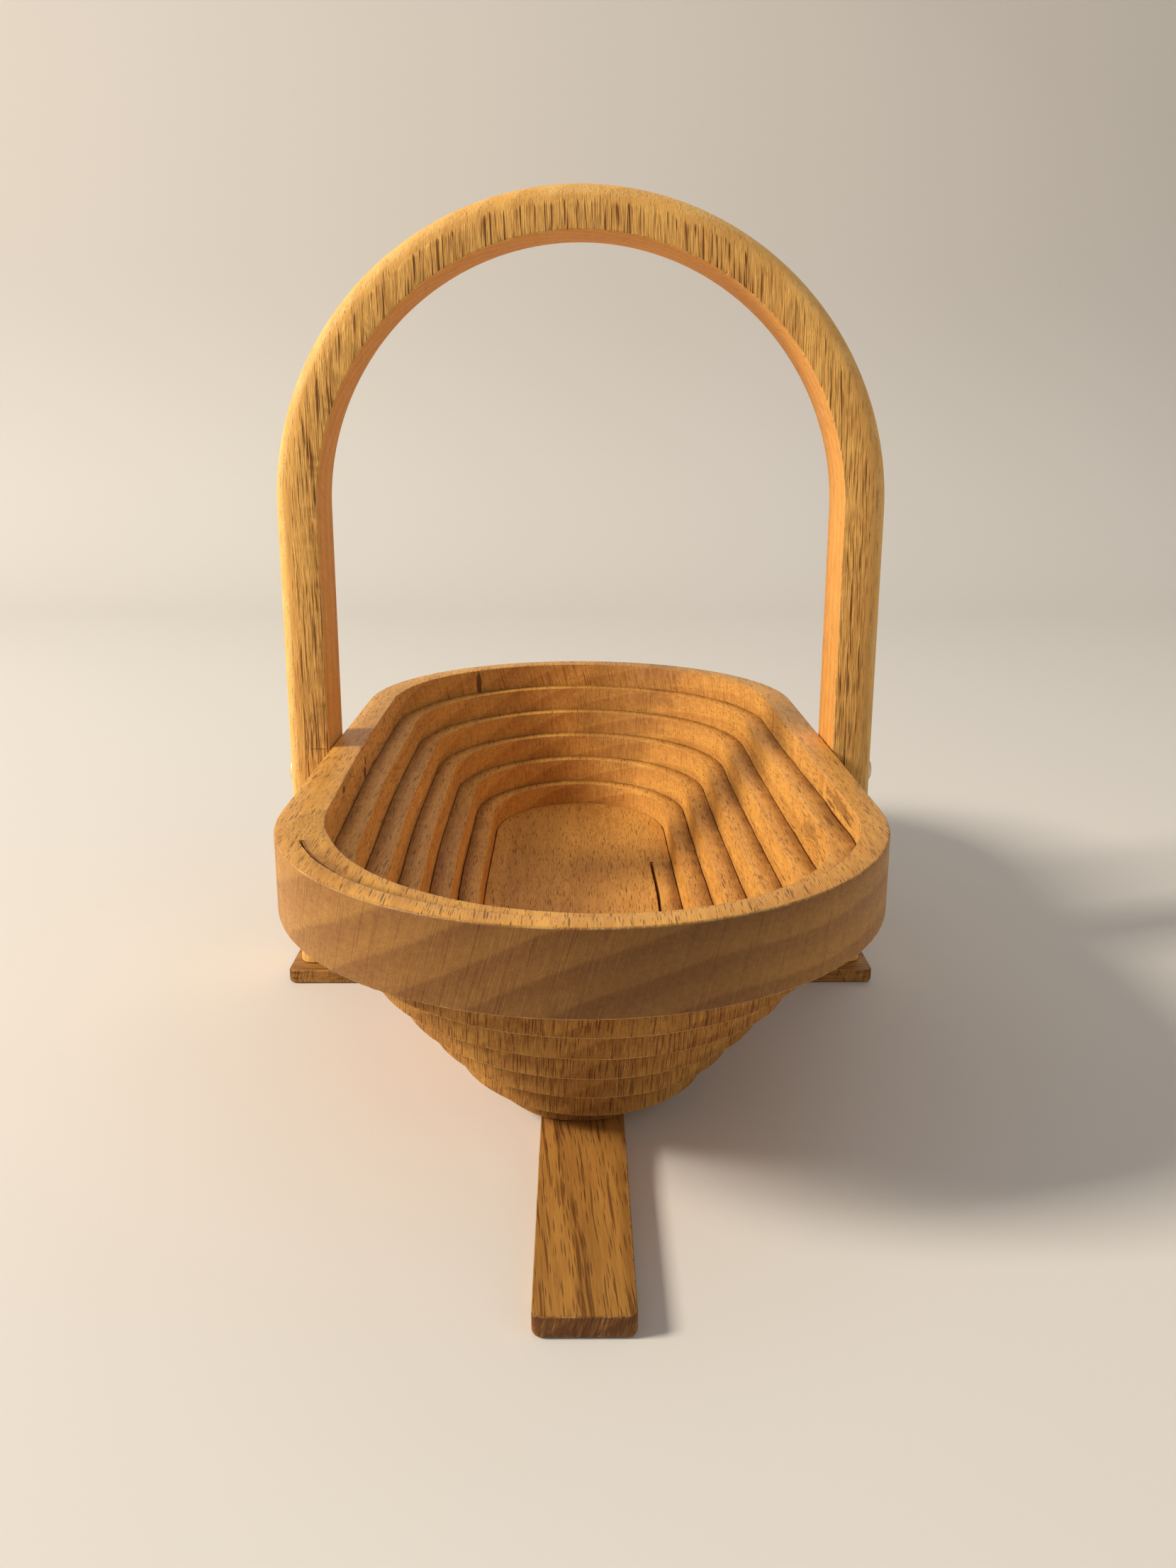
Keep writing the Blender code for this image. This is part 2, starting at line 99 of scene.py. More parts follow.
# Marks in the wood, where they lay in the flat board: centre, half size, how strong and how ragged.
# The rough patch on the rim's top has no strength of its own.
ROUGH_PATCH = ((-0.066, -0.094, 0.074), (0.007, 0.014, 0.004), 0.8)
BACK_STAIN = ((0.019, 0.131, 0.070), (0.020, 0.030, 0.010), 0.30, 1.6)
TURN_MARKS = (
    BACK_STAIN,
    ((0.0090, 0.0380, 0.0739), (0.0011, 0.0005, 0.0015), 0.55, 0.6),
    ((0.0640, -0.0700, 0.0739), (0.0009, 0.0060, 0.0012), 0.55, 1.2),
    ((0.0598, -0.0640, 0.0700), (0.0016, 0.0130, 0.0024), 0.40, 2.2),
    ((-0.0585, 0.0900, 0.0700), (0.0015, 0.0015, 0.0012), 0.40, 0.8),
)
RIM_MARKS = (
    BACK_STAIN,
    ((-0.0403, 0.1243, 0.0684), (0.0014, 0.0014, 0.0062), 0.85, 0.5),
    ((-0.0655, -0.0085, 0.0688), (0.0022, 0.0015, 0.0017), 0.85, 0.7),
    ((-0.0652, -0.0118, 0.0662), (0.0022, 0.0030, 0.0019), 0.92, 0.7),
    ((-0.0652, -0.0165, 0.0685), (0.0022, 0.0007, 0.0014), 0.60, 0.7),
    ((-0.0648, -0.0450, 0.0722), (0.0022, 0.0130, 0.0018), 0.30, 0.9),
    ((-0.0646, -0.0520, 0.0714), (0.0020, 0.0027, 0.0010), 0.85, 0.7),
    ((-0.0649, -0.0385, 0.0720), (0.0020, 0.0011, 0.0005), 0.75, 0.7),
    ((-0.0662, 0.0374, 0.0720), (0.0020, 0.0024, 0.0010), 0.45, 0.9),
    ((0.0668, -0.0640, 0.0712), (0.0020, 0.0150, 0.0022), 0.50, 2.4),
    ((0.0668, -0.0560, 0.0685), (0.0022, 0.0060, 0.0005), 0.75, 0.9),
    ((0.0668, -0.0760, 0.0695), (0.0022, 0.0070, 0.0005), 0.75, 0.9),
)
HANDLE_MARKS = (
    ((-0.07885, -0.0117, 0.0734), (0.0031, 0.0030, 0.00016), 0.60, 0.3),
    ((-0.0818, -0.0117, 0.0741), (0.00016, 0.0030, 0.0008), 0.55, 0.3),
    ((-0.0802, -0.0117, 0.0826), (0.0012, 0.0020, 0.0014), 0.25, 1.2),
    ((0.0795, -0.0117, 0.0930), (0.0005, 0.0020, 0.0040), 0.50, 0.9),
)

DOWN = Vector((0.0, 0.0, -1.0))
UP = Vector((0.0, 0.0, 1.0))
RIGHT = Vector((1.0, 0.0, 0.0))
BACKWARD = Vector((0.0, 1.0, 0.0))
QUARTER_TURN = math.pi / 2

# How the meshes are divided, and up to what angle their shading is smooth
SWEEP_CORNER_STEPS = 4
HANDLE_CORNER_STEPS = 8
SLAB_STEPS = 4
ROUND_STEPS = 8
LATHE_SIDES = 48
SHARP_ANGLE = math.radians(40.0)
TURNED_SHARP_ANGLE = math.radians(35.0)

# The direction across the front along which a ramp's reach is measured
BEND_DIRECTION = Vector((0.86, 0.5, 0.0)).normalized()

# Cutters reach this far beyond what they cut
OVERCUT = 0.002

# The pivot screws: their seat's distance from the leg, their point, and their head's shape
SCREW_SEAT_GAP = 0.00005
SCREW_POINT_SHARE = 0.3
SCREW_POINT_LENGTH = 0.0016
SCREW_HEAD_EDGE_SHARE = 0.2
SCREW_HEAD_FULLNESS = 0.8
SLOT_REACH = 1.2

# Lamps: place, size, power and colour
LAMP_TARGET = Vector((0.0, 0.0, 0.08))
LAMPS = {
    "key": ((-1.80, -0.45, 1.22), 0.54, 56.0, (1.0, 0.92, 0.80)),
    "fill": ((0.9, -0.9, 0.6), 0.9, 1.8, (1.0, 0.98, 0.96)),
    "back": ((0.5, 0.9, 1.1), 0.7, 1.2, (1.0, 0.98, 0.96)),
}
SKY_COLOUR = (1.0, 0.985, 0.965, 1.0)
SKY_STRENGTH = 0.30

# The table top: where it starts to curve up, the curve's radius and steps, and the wall's height
TABLE_DEPTH = 0.9
TABLE_CURVE = 0.5
TABLE_CURVE_STEPS = 16
WALL_HEIGHT = 2.4


def metres(name, description, default):
    """A length that a user may change."""
    return FloatProperty(name=name, description=description, default=default, precision=5,
                         subtype="DISTANCE", unit="LENGTH")


def share(name, description, default):
    """A share between nought and one, or a little more."""
    return FloatProperty(name=name, description=description, default=default, precision=3,
                         min=0.0, soft_max=1.0, subtype="FACTOR")


def turned(name, description, degrees):
    """An angle that a user may change."""
    return FloatProperty(name=name, description=description, default=math.radians(degrees),
                         subtype="ANGLE", unit="ROTATION")


def paint(name, description, red, green, blue):
    """A colour, given as it looks on a screen and kept as linear light."""
    linear = [((part / 255 + 0.055) / 1.055) ** 2.4 for part in (red, green, blue)]
    return FloatVectorProperty(name=name, description=description, default=(*linear, 1.0), size=4,
                               min=0.0, max=1.0, subtype="COLOR")


class BoardSizes(bpy.types.PropertyGroup):
    """The sawn board. Its outer size, thickness and drop come from the frame."""

    end_depth: metres("End Depth", "Depth of the half ellipse at each end", 0.0835)
    start_width: metres("Start Width", "Width of the rim where the kerf starts", 0.0059)
    pitch: metres("Pitch", "Distance from one turn of the kerf to the next", 0.0070)
    kerf: metres("Kerf", "Width of the saw cut", 0.000919)
    hairline: metres("Hairline", "Gap left where a turn wedges in the one outside it", 0.00024)
    start_gap: metres("Start Gap", "How much wider the gap is where the kerf starts", 0.00022)
    corner_gap: metres("Corner Gap", "How much wider it is where the right front corner gapes",
                       0.00055)
    crook: metres("Crook", "How far the slit in the floor strays", 0.00040)
    bevel: turned("Bevel", "Lean of the kerf", 4.0)
    start_angle: turned("Start Angle", "Where the kerf starts, from the very front", -70.0)
    slit_side_share: share("Slit End", "Where on the right side the slit in the floor ends", 0.75)
    turns: IntProperty(name="Turns", description="Free turns between rim and floor", default=5,
                       min=1, max=9)
    rim_rounding: metres("Rim Rounding", "Radius of the rim's sanded outer edges", 0.0006)
    sawn_rounding: metres("Sawn Rounding", "Radius of the sawn edges", 0.00038)
    wobble: metres("Wobble", "How far the hand-guided cut strays", 0.00022)
    wobble_length: metres("Wobble Length", "Distance over which the cut strays", 0.0180)
    tear: metres("Tear", "How deep the sawn edges are nibbled", 0.00022)
    tear_length: metres("Tear Length", "How long each nibble is", 0.0012)
    end_segments: IntProperty(name="End Segments", description="Steps round each end", default=270,
                              min=8)
    side_segments: IntProperty(name="Side Segments", description="Steps along each side",
                               default=160, min=4)
    ramp_end_share: share("Ramp End", "How far down the right side a turn bends when shut", 0.5)


class HandleSizes(bpy.types.PropertyGroup):
    """The arched handle. Its height, width and thickness come from the frame."""

    breadth: metres("Breadth", "From the inner face to the outer", 0.0125)
    rounding: metres("Rounding", "Radius of the outer edges", 0.0045)
    easing: metres("Easing", "Radius of the inner edges", 0.0006)
    tear: metres("Tear", "How deep the inner edges are nibbled", 0.00034)
    tear_length: metres("Tear Length", "How long each nibble is", 0.0011)
    leg_segments: IntProperty(name="Leg Segments", description="Steps up each leg", default=220,
                              min=2)
    arch_segments: IntProperty(name="Arch Segments", description="Steps round the arch",
                               default=400, min=12)


class StandSizes(bpy.types.PropertyGroup):
    """The two crossed laths. Their lengths, widths and thicknesses come from the frame."""

    corner: metres("Corner", "Radius of the corners, seen from above", 0.0020)
    easing: metres("Easing", "Radius of the upper edges", 0.00035)
    low_easing: metres("Low Easing", "Radius of the lower edges, which wear most", 0.0013)
    lap: metres("Lap", "Height at which the laths meet in their housing", 0.0022)
    clearance: metres("Clearance", "Gap round what is housed", 0.0003)


class FastenerSizes(bpy.types.PropertyGroup):
    """Screws and dowels. Their outer sizes come from the frame."""

    shank_radius: metres("Shank", "Radius of a pivot screw's shank", 0.0016)
    slot_width: metres("Slot", "Width of the slot in a screw's head", 0.0009)
    slot_depth: metres("Slot Depth", "Depth of the slot in a screw's head", 0.0010)
    foot_shank_radius: metres("Foot Shank", "Radius of the foot screw's shank", 0.0012)
    foot_head_height: metres("Foot Head", "Height of the foot screw's head", 0.0011)
    chamfer: metres("Chamfer", "Chamfer at a dowel's ends", 0.0004)


class WoodColours(bpy.types.PropertyGroup):
    """Colours of the oiled oak."""

    board_light: paint("Board Light", "Palest wood of the board", 240, 178, 86)
    board_dark: paint("Board Dark", "Late wood of the board", 150, 84, 28)
    handle_light: paint("Handle Light", "Palest wood of the handle", 242, 186, 100)
    handle_dark: paint("Handle Dark", "Late wood of the handle", 158, 96, 38)
    lath_light: paint("Lath Light", "Palest wood of the laths", 192, 138, 66)
    lath_dark: paint("Lath Dark", "Late wood of the laths", 112, 70, 28)
    # The pore colour also serves as painted shade on the treads at the foot of each wall.
    pore: paint("Pore", "Open pores, filled with oil and dust", 84, 44, 18)
    # The end grain colour is dark partly for the end grain's own tone and partly as painted shade
    # on the front outer walls.
    end_grain: paint("End Grain", "Outer walls across the grain", 78, 46, 20)
    # The groove colour is painted shade in the cut beside each turn, mixed with its oil and dust.
    # It also darkens the rings on the outer walls.
    groove: paint("Groove", "Painted shade, oil and dust in the cut beside a turn", 62, 24, 10)
    inner_face: paint("Inner Face", "The handle's inner face", 226, 140, 52)
    fibre: paint("Torn Fibre", "Fluff along the sawn edges", 240, 200, 134)


class StageSettings(bpy.types.PropertyGroup):
    """Camera, floor and lamps."""

    camera_place: FloatVectorProperty(name="Camera", description="Where the camera stands",
                                      default=(-0.0017, -0.3970, 0.1631), subtype="TRANSLATION",
                                      unit="LENGTH")
    camera_pitch: turned("Pitch", "How far the camera looks down", 14.63)
    camera_yaw: turned("Yaw", "How far the camera looks to the right", 0.53)
    camera_roll: turned("Roll", "How far the camera leans", -0.13)
    focal_length: FloatProperty(name="Focal Length", description="In millimetres on a 36 mm frame",
                                default=30.17, min=1.0)
    floor_size: metres("Floor", "Half the width of the floor", 2.2)
    floor_colour: paint("Floor Colour", "Plain pale table top", 226, 221, 214)
    wall_colour: paint("Wall Colour", "Plain pale backdrop", 208, 202, 195)


def settings():
    """All the settings of the basket."""
    return bpy.context.scene.spiral_basket


class BasketSettings(bpy.types.PropertyGroup):
    """Everything that a user may change."""

    board: PointerProperty(type=BoardSizes)
    handle: PointerProperty(type=HandleSizes)
    stand: PointerProperty(type=StandSizes)
    fasteners: PointerProperty(type=FastenerSizes)
    wood: PointerProperty(type=WoodColours)
    stage: PointerProperty(type=StageSettings)


# Nodes

class Value:
    """A number or a vector in a node tree. Each step of a calculation with it adds one node."""

    def __init__(self, tree, socket):
        self.tree = tree
        self.socket = socket

    def math(self, operation, *others, clamp=False):
        """The result of one Math node that starts with this value."""
        return result_of(self.tree, "ShaderNodeMath", dict(enumerate((self, *others))),
                         operation=operation, use_clamp=clamp)

    def vector(self, operation, *others, output=0):
        """The result of one Vector Math node that starts with this value."""
        return result_of(self.tree, "ShaderNodeVectorMath", dict(enumerate((self, *others))),
                         output, operation=operation)

    def scaled(self, factor):
        """This vector, made longer or shorter."""
        return result_of(self.tree, "ShaderNodeVectorMath", {0: self, "Scale": factor},
                         operation="SCALE")

    def mix(self, low, high):
        """A number between two others, with this value as the share of the second."""
        return result_of(self.tree, "ShaderNodeMix", {"Factor": self, "A": low, "B": high})

    def ramp(self, low, high, to_low=0.0, to_high=1.0):
        """Map this value smoothly from one range to another and hold it there."""
        return result_of(self.tree, "ShaderNodeMapRange", {
            "Value": self, "From Min": low, "From Max": high, "To Min": to_low,
            "To Max": to_high,
        }, "Result", interpolation_type="SMOOTHSTEP", clamp=True)

    def noise(self, scale=1.0, detail=2.0, roughness=0.5):
        """Smooth noise between nought and one at this place."""
        return result_of(self.tree, "ShaderNodeTexNoise", {
            "Vector": self, "Scale": scale, "Detail": detail, "Roughness": roughness})

    def parts(self):
        """The three parts of this vector."""
        made = add_node(self.tree, "ShaderNodeSeparateXYZ", {0: self})
        return [Value(self.tree, socket) for socket in made.outputs]

    def __add__(self, other):
        return self.math("ADD", other)

    def __sub__(self, other):
        return self.math("SUBTRACT", other)

    def __rsub__(self, other):
        return result_of(self.tree, "ShaderNodeMath", {0: other, 1: self}, operation="SUBTRACT")

    def __mul__(self, other):
        return self.math("MULTIPLY", other)

    def __truediv__(self, other):
        return self.math("DIVIDE", other)

    def __abs__(self):
        return self.math("ABSOLUTE")


def add_node(tree, kind, inputs=None, **options):
    """Add one node, set its options, and feed its inputs from constants or from values."""
    made = tree.nodes.new(kind)
    for option, setting in options.items():
        setattr(made, option, setting)
    for key, source in (inputs or {}).items():
        if isinstance(source, Value):
            tree.links.new(source.socket, made.inputs[key])
        else:
            made.inputs[key].default_value = source
    return made


def result_of(tree, kind, inputs=None, output=0, **options):
    """Add one node and take one of its outputs."""
    return Value(tree, add_node(tree, kind, inputs, **options).outputs[output])


def together(tree, *parts):
    """A vector made of up to three numbers."""
    return result_of(tree, "ShaderNodeCombineXYZ", dict(enumerate(parts)))


def new_tree(name, kind, inputs, outputs):
    """A node group with named inputs and outputs, given as name: (socket type, default)."""
    tree = bpy.data.node_groups.new(name, kind)
    for direction, sockets in (("INPUT", inputs), ("OUTPUT", outputs)):
        for socket_name, (socket_type, default) in sockets.items():
            socket = tree.interface.new_socket(name=socket_name, in_out=direction,
                                               socket_type="NodeSocket" + socket_type)
            if default is not None:
                socket.default_value = default
    entry = tree.nodes.new("NodeGroupInput")
    given = {key: Value(tree, entry.outputs[key]) for key in inputs}
    return tree, given, tree.nodes.new("NodeGroupOutput").inputs


# The swept strip, which makes the spiral and the handle

GUIDE_NUMBERS = ("width", "outer_lean", "inner_lean", "along", "end_grain", "sunk")
TEAR_LIMIT = 0.0015
MERGE_DISTANCE = 0.000002


def guide_value(tree, guide, name, index, kind="FLOAT"):
    """What the guide line carries at one of its points."""
    named = result_of(tree, "GeometryNodeInputNamedAttribute", {"Name": name}, "Attribute",
                      data_type=kind)
    return result_of(tree, "GeometryNodeSampleIndex", {
        "Geometry": guide, "Value": named, "Index": index,
    }, "Value", data_type=kind, clamp=True)


def strip_tree():
    """Geometry Nodes: sweep a section with rounded corners along a guide line.

    Each point of the guide is the section's outer corner and carries the section's width, the
    direction across it, the lean of its two walls and how far it has sunk. The rows before the
    first point and after the last are drawn together to close the ends. The strip keeps where
    its wood grew, so that the figure runs on from turn to turn and moves with the wood.
    """
    tree, given, result = new_tree("Sawn Strip", "GeometryNodeTree", {
        "Guide": ("Geometry", None),
        "Thickness": ("Float", 0.02),
        "Depth Direction": ("Vector", (0.0, 0.0, -1.0)),
        "Outer Rounding": ("Float", 0.001),
        "Inner Rounding": ("Float", 0.001),
        "Corner Steps": ("Int", 4),
        "Wobble": ("Float", 0.0002),
        "Wobble Length": ("Float", 0.02),
        "Tear": ("Float", 0.0),
        "Tear Length": ("Float", 0.001),
        "Turn Faces": ("Bool", False),
        "Material": ("Material", None),
    }, {"Strip": ("Geometry", None)})
    guide = given["Guide"]
    thickness = given["Thickness"]

    # A grid with one row for each point of the guide and one more to close each end
    count = result_of(tree, "GeometryNodeAttributeDomainSize", {"Geometry": guide},
                      "Point Count", component="MESH")
    per_corner = given["Corner Steps"] + 1.0
    ring = per_corner * 4.0 + 1.0
    made = result_of(tree, "GeometryNodeMeshGrid", {"Vertices X": count + 2.0, "Vertices Y": ring})
    index = result_of(tree, "GeometryNodeInputIndex")
    row = ((index + 0.5) / ring).math("FLOOR")
    in_row = index - row * ring
    point = row - 1.0
    closing = point.math("LESS_THAN", -0.5) + point.math("GREATER_THAN", count - 0.5)

    carried = {key: guide_value(tree, guide, key, point) for key in GUIDE_NUMBERS}
    width = carried["width"]
    inward = guide_value(tree, guide, "inward", point, "FLOAT_VECTOR")
    start = result_of(tree, "GeometryNodeSampleIndex", {
        "Geometry": guide, "Value": result_of(tree, "GeometryNodeInputPosition"), "Index": point,
    }, "Value", data_type="FLOAT_VECTOR", clamp=True)

    # Round the section: which of its four corners, and how far round that corner
    in_section = in_row.math("MODULO", per_corner * 4.0)
    quarter = (in_section / per_corner).math("FLOOR")
    in_corner = (in_section - quarter * per_corner) / given["Corner Steps"]
    angle = (quarter + in_corner) * QUARTER_TURN
    side = angle.math("SINE")
    upward = angle.math("COSINE")
    is_inner = quarter.math("GREATER_THAN", 1.5)
    is_low = quarter.math("COMPARE", 1.5, 0.75)
    rounding = is_inner.mix(given["Outer Rounding"], given["Inner Rounding"])
    across_centre = is_inner.mix(rounding, width - rounding)
    depth_centre = is_low.mix(rounding, thickness - rounding)

    # Small nibbles out of the sharp corners
    nibble = together(tree, carried["along"] / given["Tear Length"], quarter).noise()
    bite = nibble.ramp(0.45, 0.75) * (given["Tear"] * rounding.math("LESS_THAN", TEAR_LIMIT))
    reach = rounding - bite * abs(side * upward * 2.0)
    across = closing.mix(across_centre - reach * side, width * 0.5)
    depth = closing.mix(depth_centre - reach * upward, thickness * 0.5)

    # The walls lean, and stray where the cut was guided by hand
    lean = (across / width).mix(carried["outer_lean"], carried["inner_lean"])
    spread = together(tree, *[given["Wobble Length"]] * 3)
    stray = (start.vector("DIVIDE", spread).noise(1.0, 1.0) - 0.5) * given["Wobble"]
    follows = lean.math("DIVIDE", carried["inner_lean"].math("MAXIMUM", 0.001), clamp=True)
    shift = depth * lean + stray * 2.0 * follows
    place = start.vector("ADD", inward.scaled(across + shift)).vector(
        "ADD", given["Depth Direction"].scaled(depth))

    made = result_of(tree, "GeometryNodeSetPosition", {"Geometry": made, "Position": place})
    kept = {"along": carried["along"], "end_grain": carried["end_grain"], "depth": depth,
            "side": side, "upward": upward, "across": across,
            "grown": place.vector("ADD", together(tree, 0.0, 0.0, carried["sunk"]))}
    for name, value in kept.items():
        made = result_of(tree, "GeometryNodeStoreNamedAttribute", {
            "Geometry": made, "Name": name, "Value": value,
        }, data_type="FLOAT_VECTOR" if name == "grown" else "FLOAT", domain="POINT")
    for kind, inputs in (
        ("GeometryNodeMergeByDistance", {"Distance": MERGE_DISTANCE}),
        ("GeometryNodeFlipFaces", {"Selection": given["Turn Faces"]}),
        ("GeometryNodeSetShadeSmooth", {}),
        ("GeometryNodeRealizeInstances", {}),
        ("GeometryNodeSetMaterial", {"Material": given["Material"]}),
    ):
        made = result_of(tree, kind, {0: made, **inputs})
    tree.links.new(made.socket, result["Strip"])
    return tree


def link_piece(name, data):
    """An object in the scene for a mesh, a lamp or a camera."""
    piece = bpy.data.objects.new(name, data)
    bpy.context.scene.collection.objects.link(piece)
    return piece


def guide_line(name, rows):
    """A line of points that carries the section's sizes for the sweep."""
    mesh = bpy.data.meshes.new(name)
    mesh.from_pydata([row["place"] for row in rows],
                     [(index, index + 1) for index in range(len(rows) - 1)], [])
    for key in GUIDE_NUMBERS:
        attribute = mesh.attributes.new(key, "FLOAT", "POINT")
        attribute.data.foreach_set("value", [row[key] for row in rows])
    inward = mesh.attributes.new("inward", "FLOAT_VECTOR", "POINT")
    inward.data.foreach_set("vector", [part for row in rows for part in row["inward"]])
    return link_piece(name, mesh)


def sweep(name, rows, sizes, material):
    """Run the strip's nodes on a guide line and keep the result as a plain mesh."""
    tree = bpy.data.node_groups.get("Sawn Strip") or strip_tree()
    guide = guide_line(name + "_guide", rows)
    modifier = guide.modifiers.new("strip", "NODES")
    modifier.node_group = tree
    values = {**sizes, "Material": material}
    for item in tree.interface.items_tree:
        if item.in_out == "INPUT" and item.name in values:
            modifier[item.identifier] = values[item.name]
    guide.update_tag()
    depsgraph = bpy.context.evaluated_depsgraph_get()
    mesh = bpy.data.meshes.new_from_object(guide.evaluated_get(depsgraph))
    mesh.name = name
    mesh.set_sharp_from_angle(angle=SHARP_ANGLE)
    bpy.data.objects.remove(guide)
    return link_piece(name, mesh)


# The spiral

def read_table(value, knots, results):
    """Read a table of rising shares at one place, along a smooth curve through its entries."""
    rises = []
    for (before, after), (low, high) in zip(zip(knots, knots[1:]), zip(results, results[1:])):
        rises.append((high - low) / (after - before))
    slopes = [rises[0]]
    for before, after in zip(rises, rises[1:]):
        slopes.append(2.0 * before * after / (before + after))
    slopes.append(rises[-1])
    index = max(index for index in range(len(rises)) if knots[index] <= value)
    span = knots[index + 1] - knots[index]
    part = (value - knots[index]) / span
    rest = 1.0 - part
    low = results[index] * (1.0 + 2.0 * part) + slopes[index] * span * part
    high = results[index + 1] * (1.0 + 2.0 * rest) - slopes[index + 1] * span * rest
    return low * rest * rest + high * part * part


class Board:
    """The sawn board: where its edge runs, how deep each turn hangs and how wide it is."""

    def __init__(self):
        self.sizes = settings().board
        self.half_width = RIM_HIGH.x
        self.middle = (RIM_HIGH.y + RIM_LOW.y) / 2
        self.side_half = (RIM_HIGH.y - RIM_LOW.y) / 2 - self.sizes.end_depth
        self.top = RIM_HIGH.z
        self.thickness = RIM_HIGH.z - RIM_LOW.z
        self.floor_level = FLOOR_LOW.z + self.thickness
        self.drop = (self.top - self.floor_level) / (self.sizes.turns + 1)
        self.lean = math.tan(self.sizes.bevel)
        self.stations = self.outline()

    def end_station(self, angle, end_sign):
        """A point on an elliptical end and its inward normal; angle nought is the very front."""
        depth = self.sizes.end_depth
        point = Vector((
            self.half_width * math.sin(angle),
            end_sign * self.side_half - depth * math.cos(angle) + self.middle,
            0.0,
        ))
        inward = Vector((-depth * math.sin(angle), self.half_width * math.cos(angle), 0.0))
        return point, inward.normalized()

    def side_station(self, part, side_sign):
        """A point on a straight side, part of the way along in the direction of travel."""
        along = side_sign * self.side_half * (2.0 * part - 1.0)
        point = Vector((side_sign * self.half_width, along + self.middle, 0.0))
        return point, Vector((-side_sign, 0.0, 0.0))

    def outline(self):
        """Stations once round the board from the start of the kerf."""
        ends = self.sizes.end_segments
        sides = self.sizes.side_segments
        start = self.sizes.start_angle
        front_count = round(ends * (QUARTER_TURN - start) / math.pi)
        front_turn = QUARTER_TURN - start
        places = []
        for index in range(front_count):
            places.append(self.end_station(start + front_turn * index / front_count, -1))
        self.ramp_end = len(places) + round(sides * self.sizes.ramp_end_share)
        self.slit_end = len(places) + round(sides * self.sizes.slit_side_share)
        for index in range(sides):
            places.append(self.side_station(index / sides, 1))
        for index in range(ends):
            places.append(self.end_station(QUARTER_TURN + math.pi * index / ends, 1))
        for index in range(sides):
            places.append(self.side_station(index / sides, -1))
        last_count = ends - front_count
        for index in range(last_count + 1):
            places.append(self.end_station(
                (start + QUARTER_TURN) * index / last_count - QUARTER_TURN, -1))
        lengths = [0.0]
        for (before, _), (after, _) in zip(places, places[1:]):
            lengths.append(lengths[-1] + (after - before).length)
        self.round_length = lengths[-1]
        return [
            {"point": point, "inward": inward, "share": length / lengths[-1]}
            for (point, inward), length in zip(places, lengths)
        ]

    def kerf_offset(self, kerf_pass, way):
        """Distance of the kerf's middle from the board's edge, at the board's top face."""
        inward = read_table(way, ROUND_SHARES, INWARD_SHARES)
        offset = self.sizes.start_width + self.sizes.pitch * (kerf_pass + inward)
        if kerf_pass > self.sizes.turns:
            offset += self.sizes.crook * math.sin(way * CROOK_WAVES) * math.sin(way * CROOK_RIPPLES)
        return offset

    def sunk(self, turn, way):
        """How many drops a turn has sunk below the rim. The rim itself is turn nought."""
        if turn == 0:
            return 0.0
        sinks = FIRST_SINK_SHARES if turn == 1 else SINK_SHARES
        drops = turn - 1.0 + read_table(way, SINK_ROUND_SHARES, sinks)
        return min(drops, self.sizes.turns + 1.0)

    def gap(self, turn, way):
        """How far a turn stays clear of the one outside it."""
        gap = self.sizes.hairline
        if turn == 1:
            gap += self.sizes.start_gap * max(0.0, 1.0 - way / START_GAP_SHARE)
        reach = (way - CORNER_GAP_SHARES[0]) / CORNER_GAP_SHARES[1]
        if turn < 3 and abs(reach) < 1.0:
            gap += self.sizes.corner_gap / turn * math.cos(reach * QUARTER_TURN) ** 2
        return gap

    def row(self, turn, station):
        """The section of one turn at one station, wedged against the turn outside it."""
        way = station["share"]
        outer = 0.0
        if turn > 0:
            step = (self.sunk(turn, way) - self.sunk(turn - 1, way)) * self.drop
            outer = self.kerf_offset(turn - 1, way) - self.sizes.kerf / 2
            outer += step * self.lean + self.gap(turn, way)
        inner = self.kerf_offset(turn, way) - self.sizes.kerf / 2
        level = self.top - self.drop * self.sunk(turn, way)
        place = station["point"] + station["inward"] * outer
        return {
            "place": (place.x, place.y, level),
            "inward": station["inward"],
            "width": inner - outer,
            "outer_lean": self.lean if turn > 0 else 0.0,
            "inner_lean": self.lean,
            "along": (turn - 1 + way) * self.round_length,
            "end_grain": abs(station["inward"].y),
            "sunk": self.top - level,
        }

    def strip(self, name, turn, first, last, material):
        """Sweep one stretch of a turn, from one station to another."""
        sawn = self.sizes.sawn_rounding
        rows = [self.row(turn, station) for station in self.stations[first:last + 1]]
        return sweep(name, rows, {
            "Thickness": self.thickness,
            "Depth Direction": DOWN,
            "Outer Rounding": sawn if turn > 0 else self.sizes.rim_rounding,
            "Inner Rounding": sawn,
            "Corner Steps": SWEEP_CORNER_STEPS,
            "Wobble": self.sizes.wobble,
            "Wobble Length": self.sizes.wobble_length,
            "Tear": self.sizes.tear,
            "Tear Length": self.sizes.tear_length,
            "Turn Faces": True,
        }, material)

    def bend(self, piece, turn, last):
        """Bake a ramp's place into its mesh. Where it starts and how far it reaches across the
        front are worked out, but nothing uses them.
        """
        start = Vector(self.row(turn, self.stations[0])["place"])
        reach = (Vector(self.row(turn, self.stations[last])["place"]) - start).dot(BEND_DIRECTION)
        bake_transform(piece)


# Solids made from an outline

def finished(name, work, material, sharp_angle=None):
    """An object for the faces made so far, with smooth shading up to an angle where asked."""
    if sharp_angle:
        bmesh.ops.recalc_face_normals(work, faces=work.faces)
    mesh = bpy.data.meshes.new(name)
    work.to_mesh(mesh)
    work.free()
    if sharp_angle:
        mesh.shade_smooth()
        mesh.set_sharp_from_angle(angle=sharp_angle)
    mesh.materials.append(material)
    return link_piece(name, mesh)


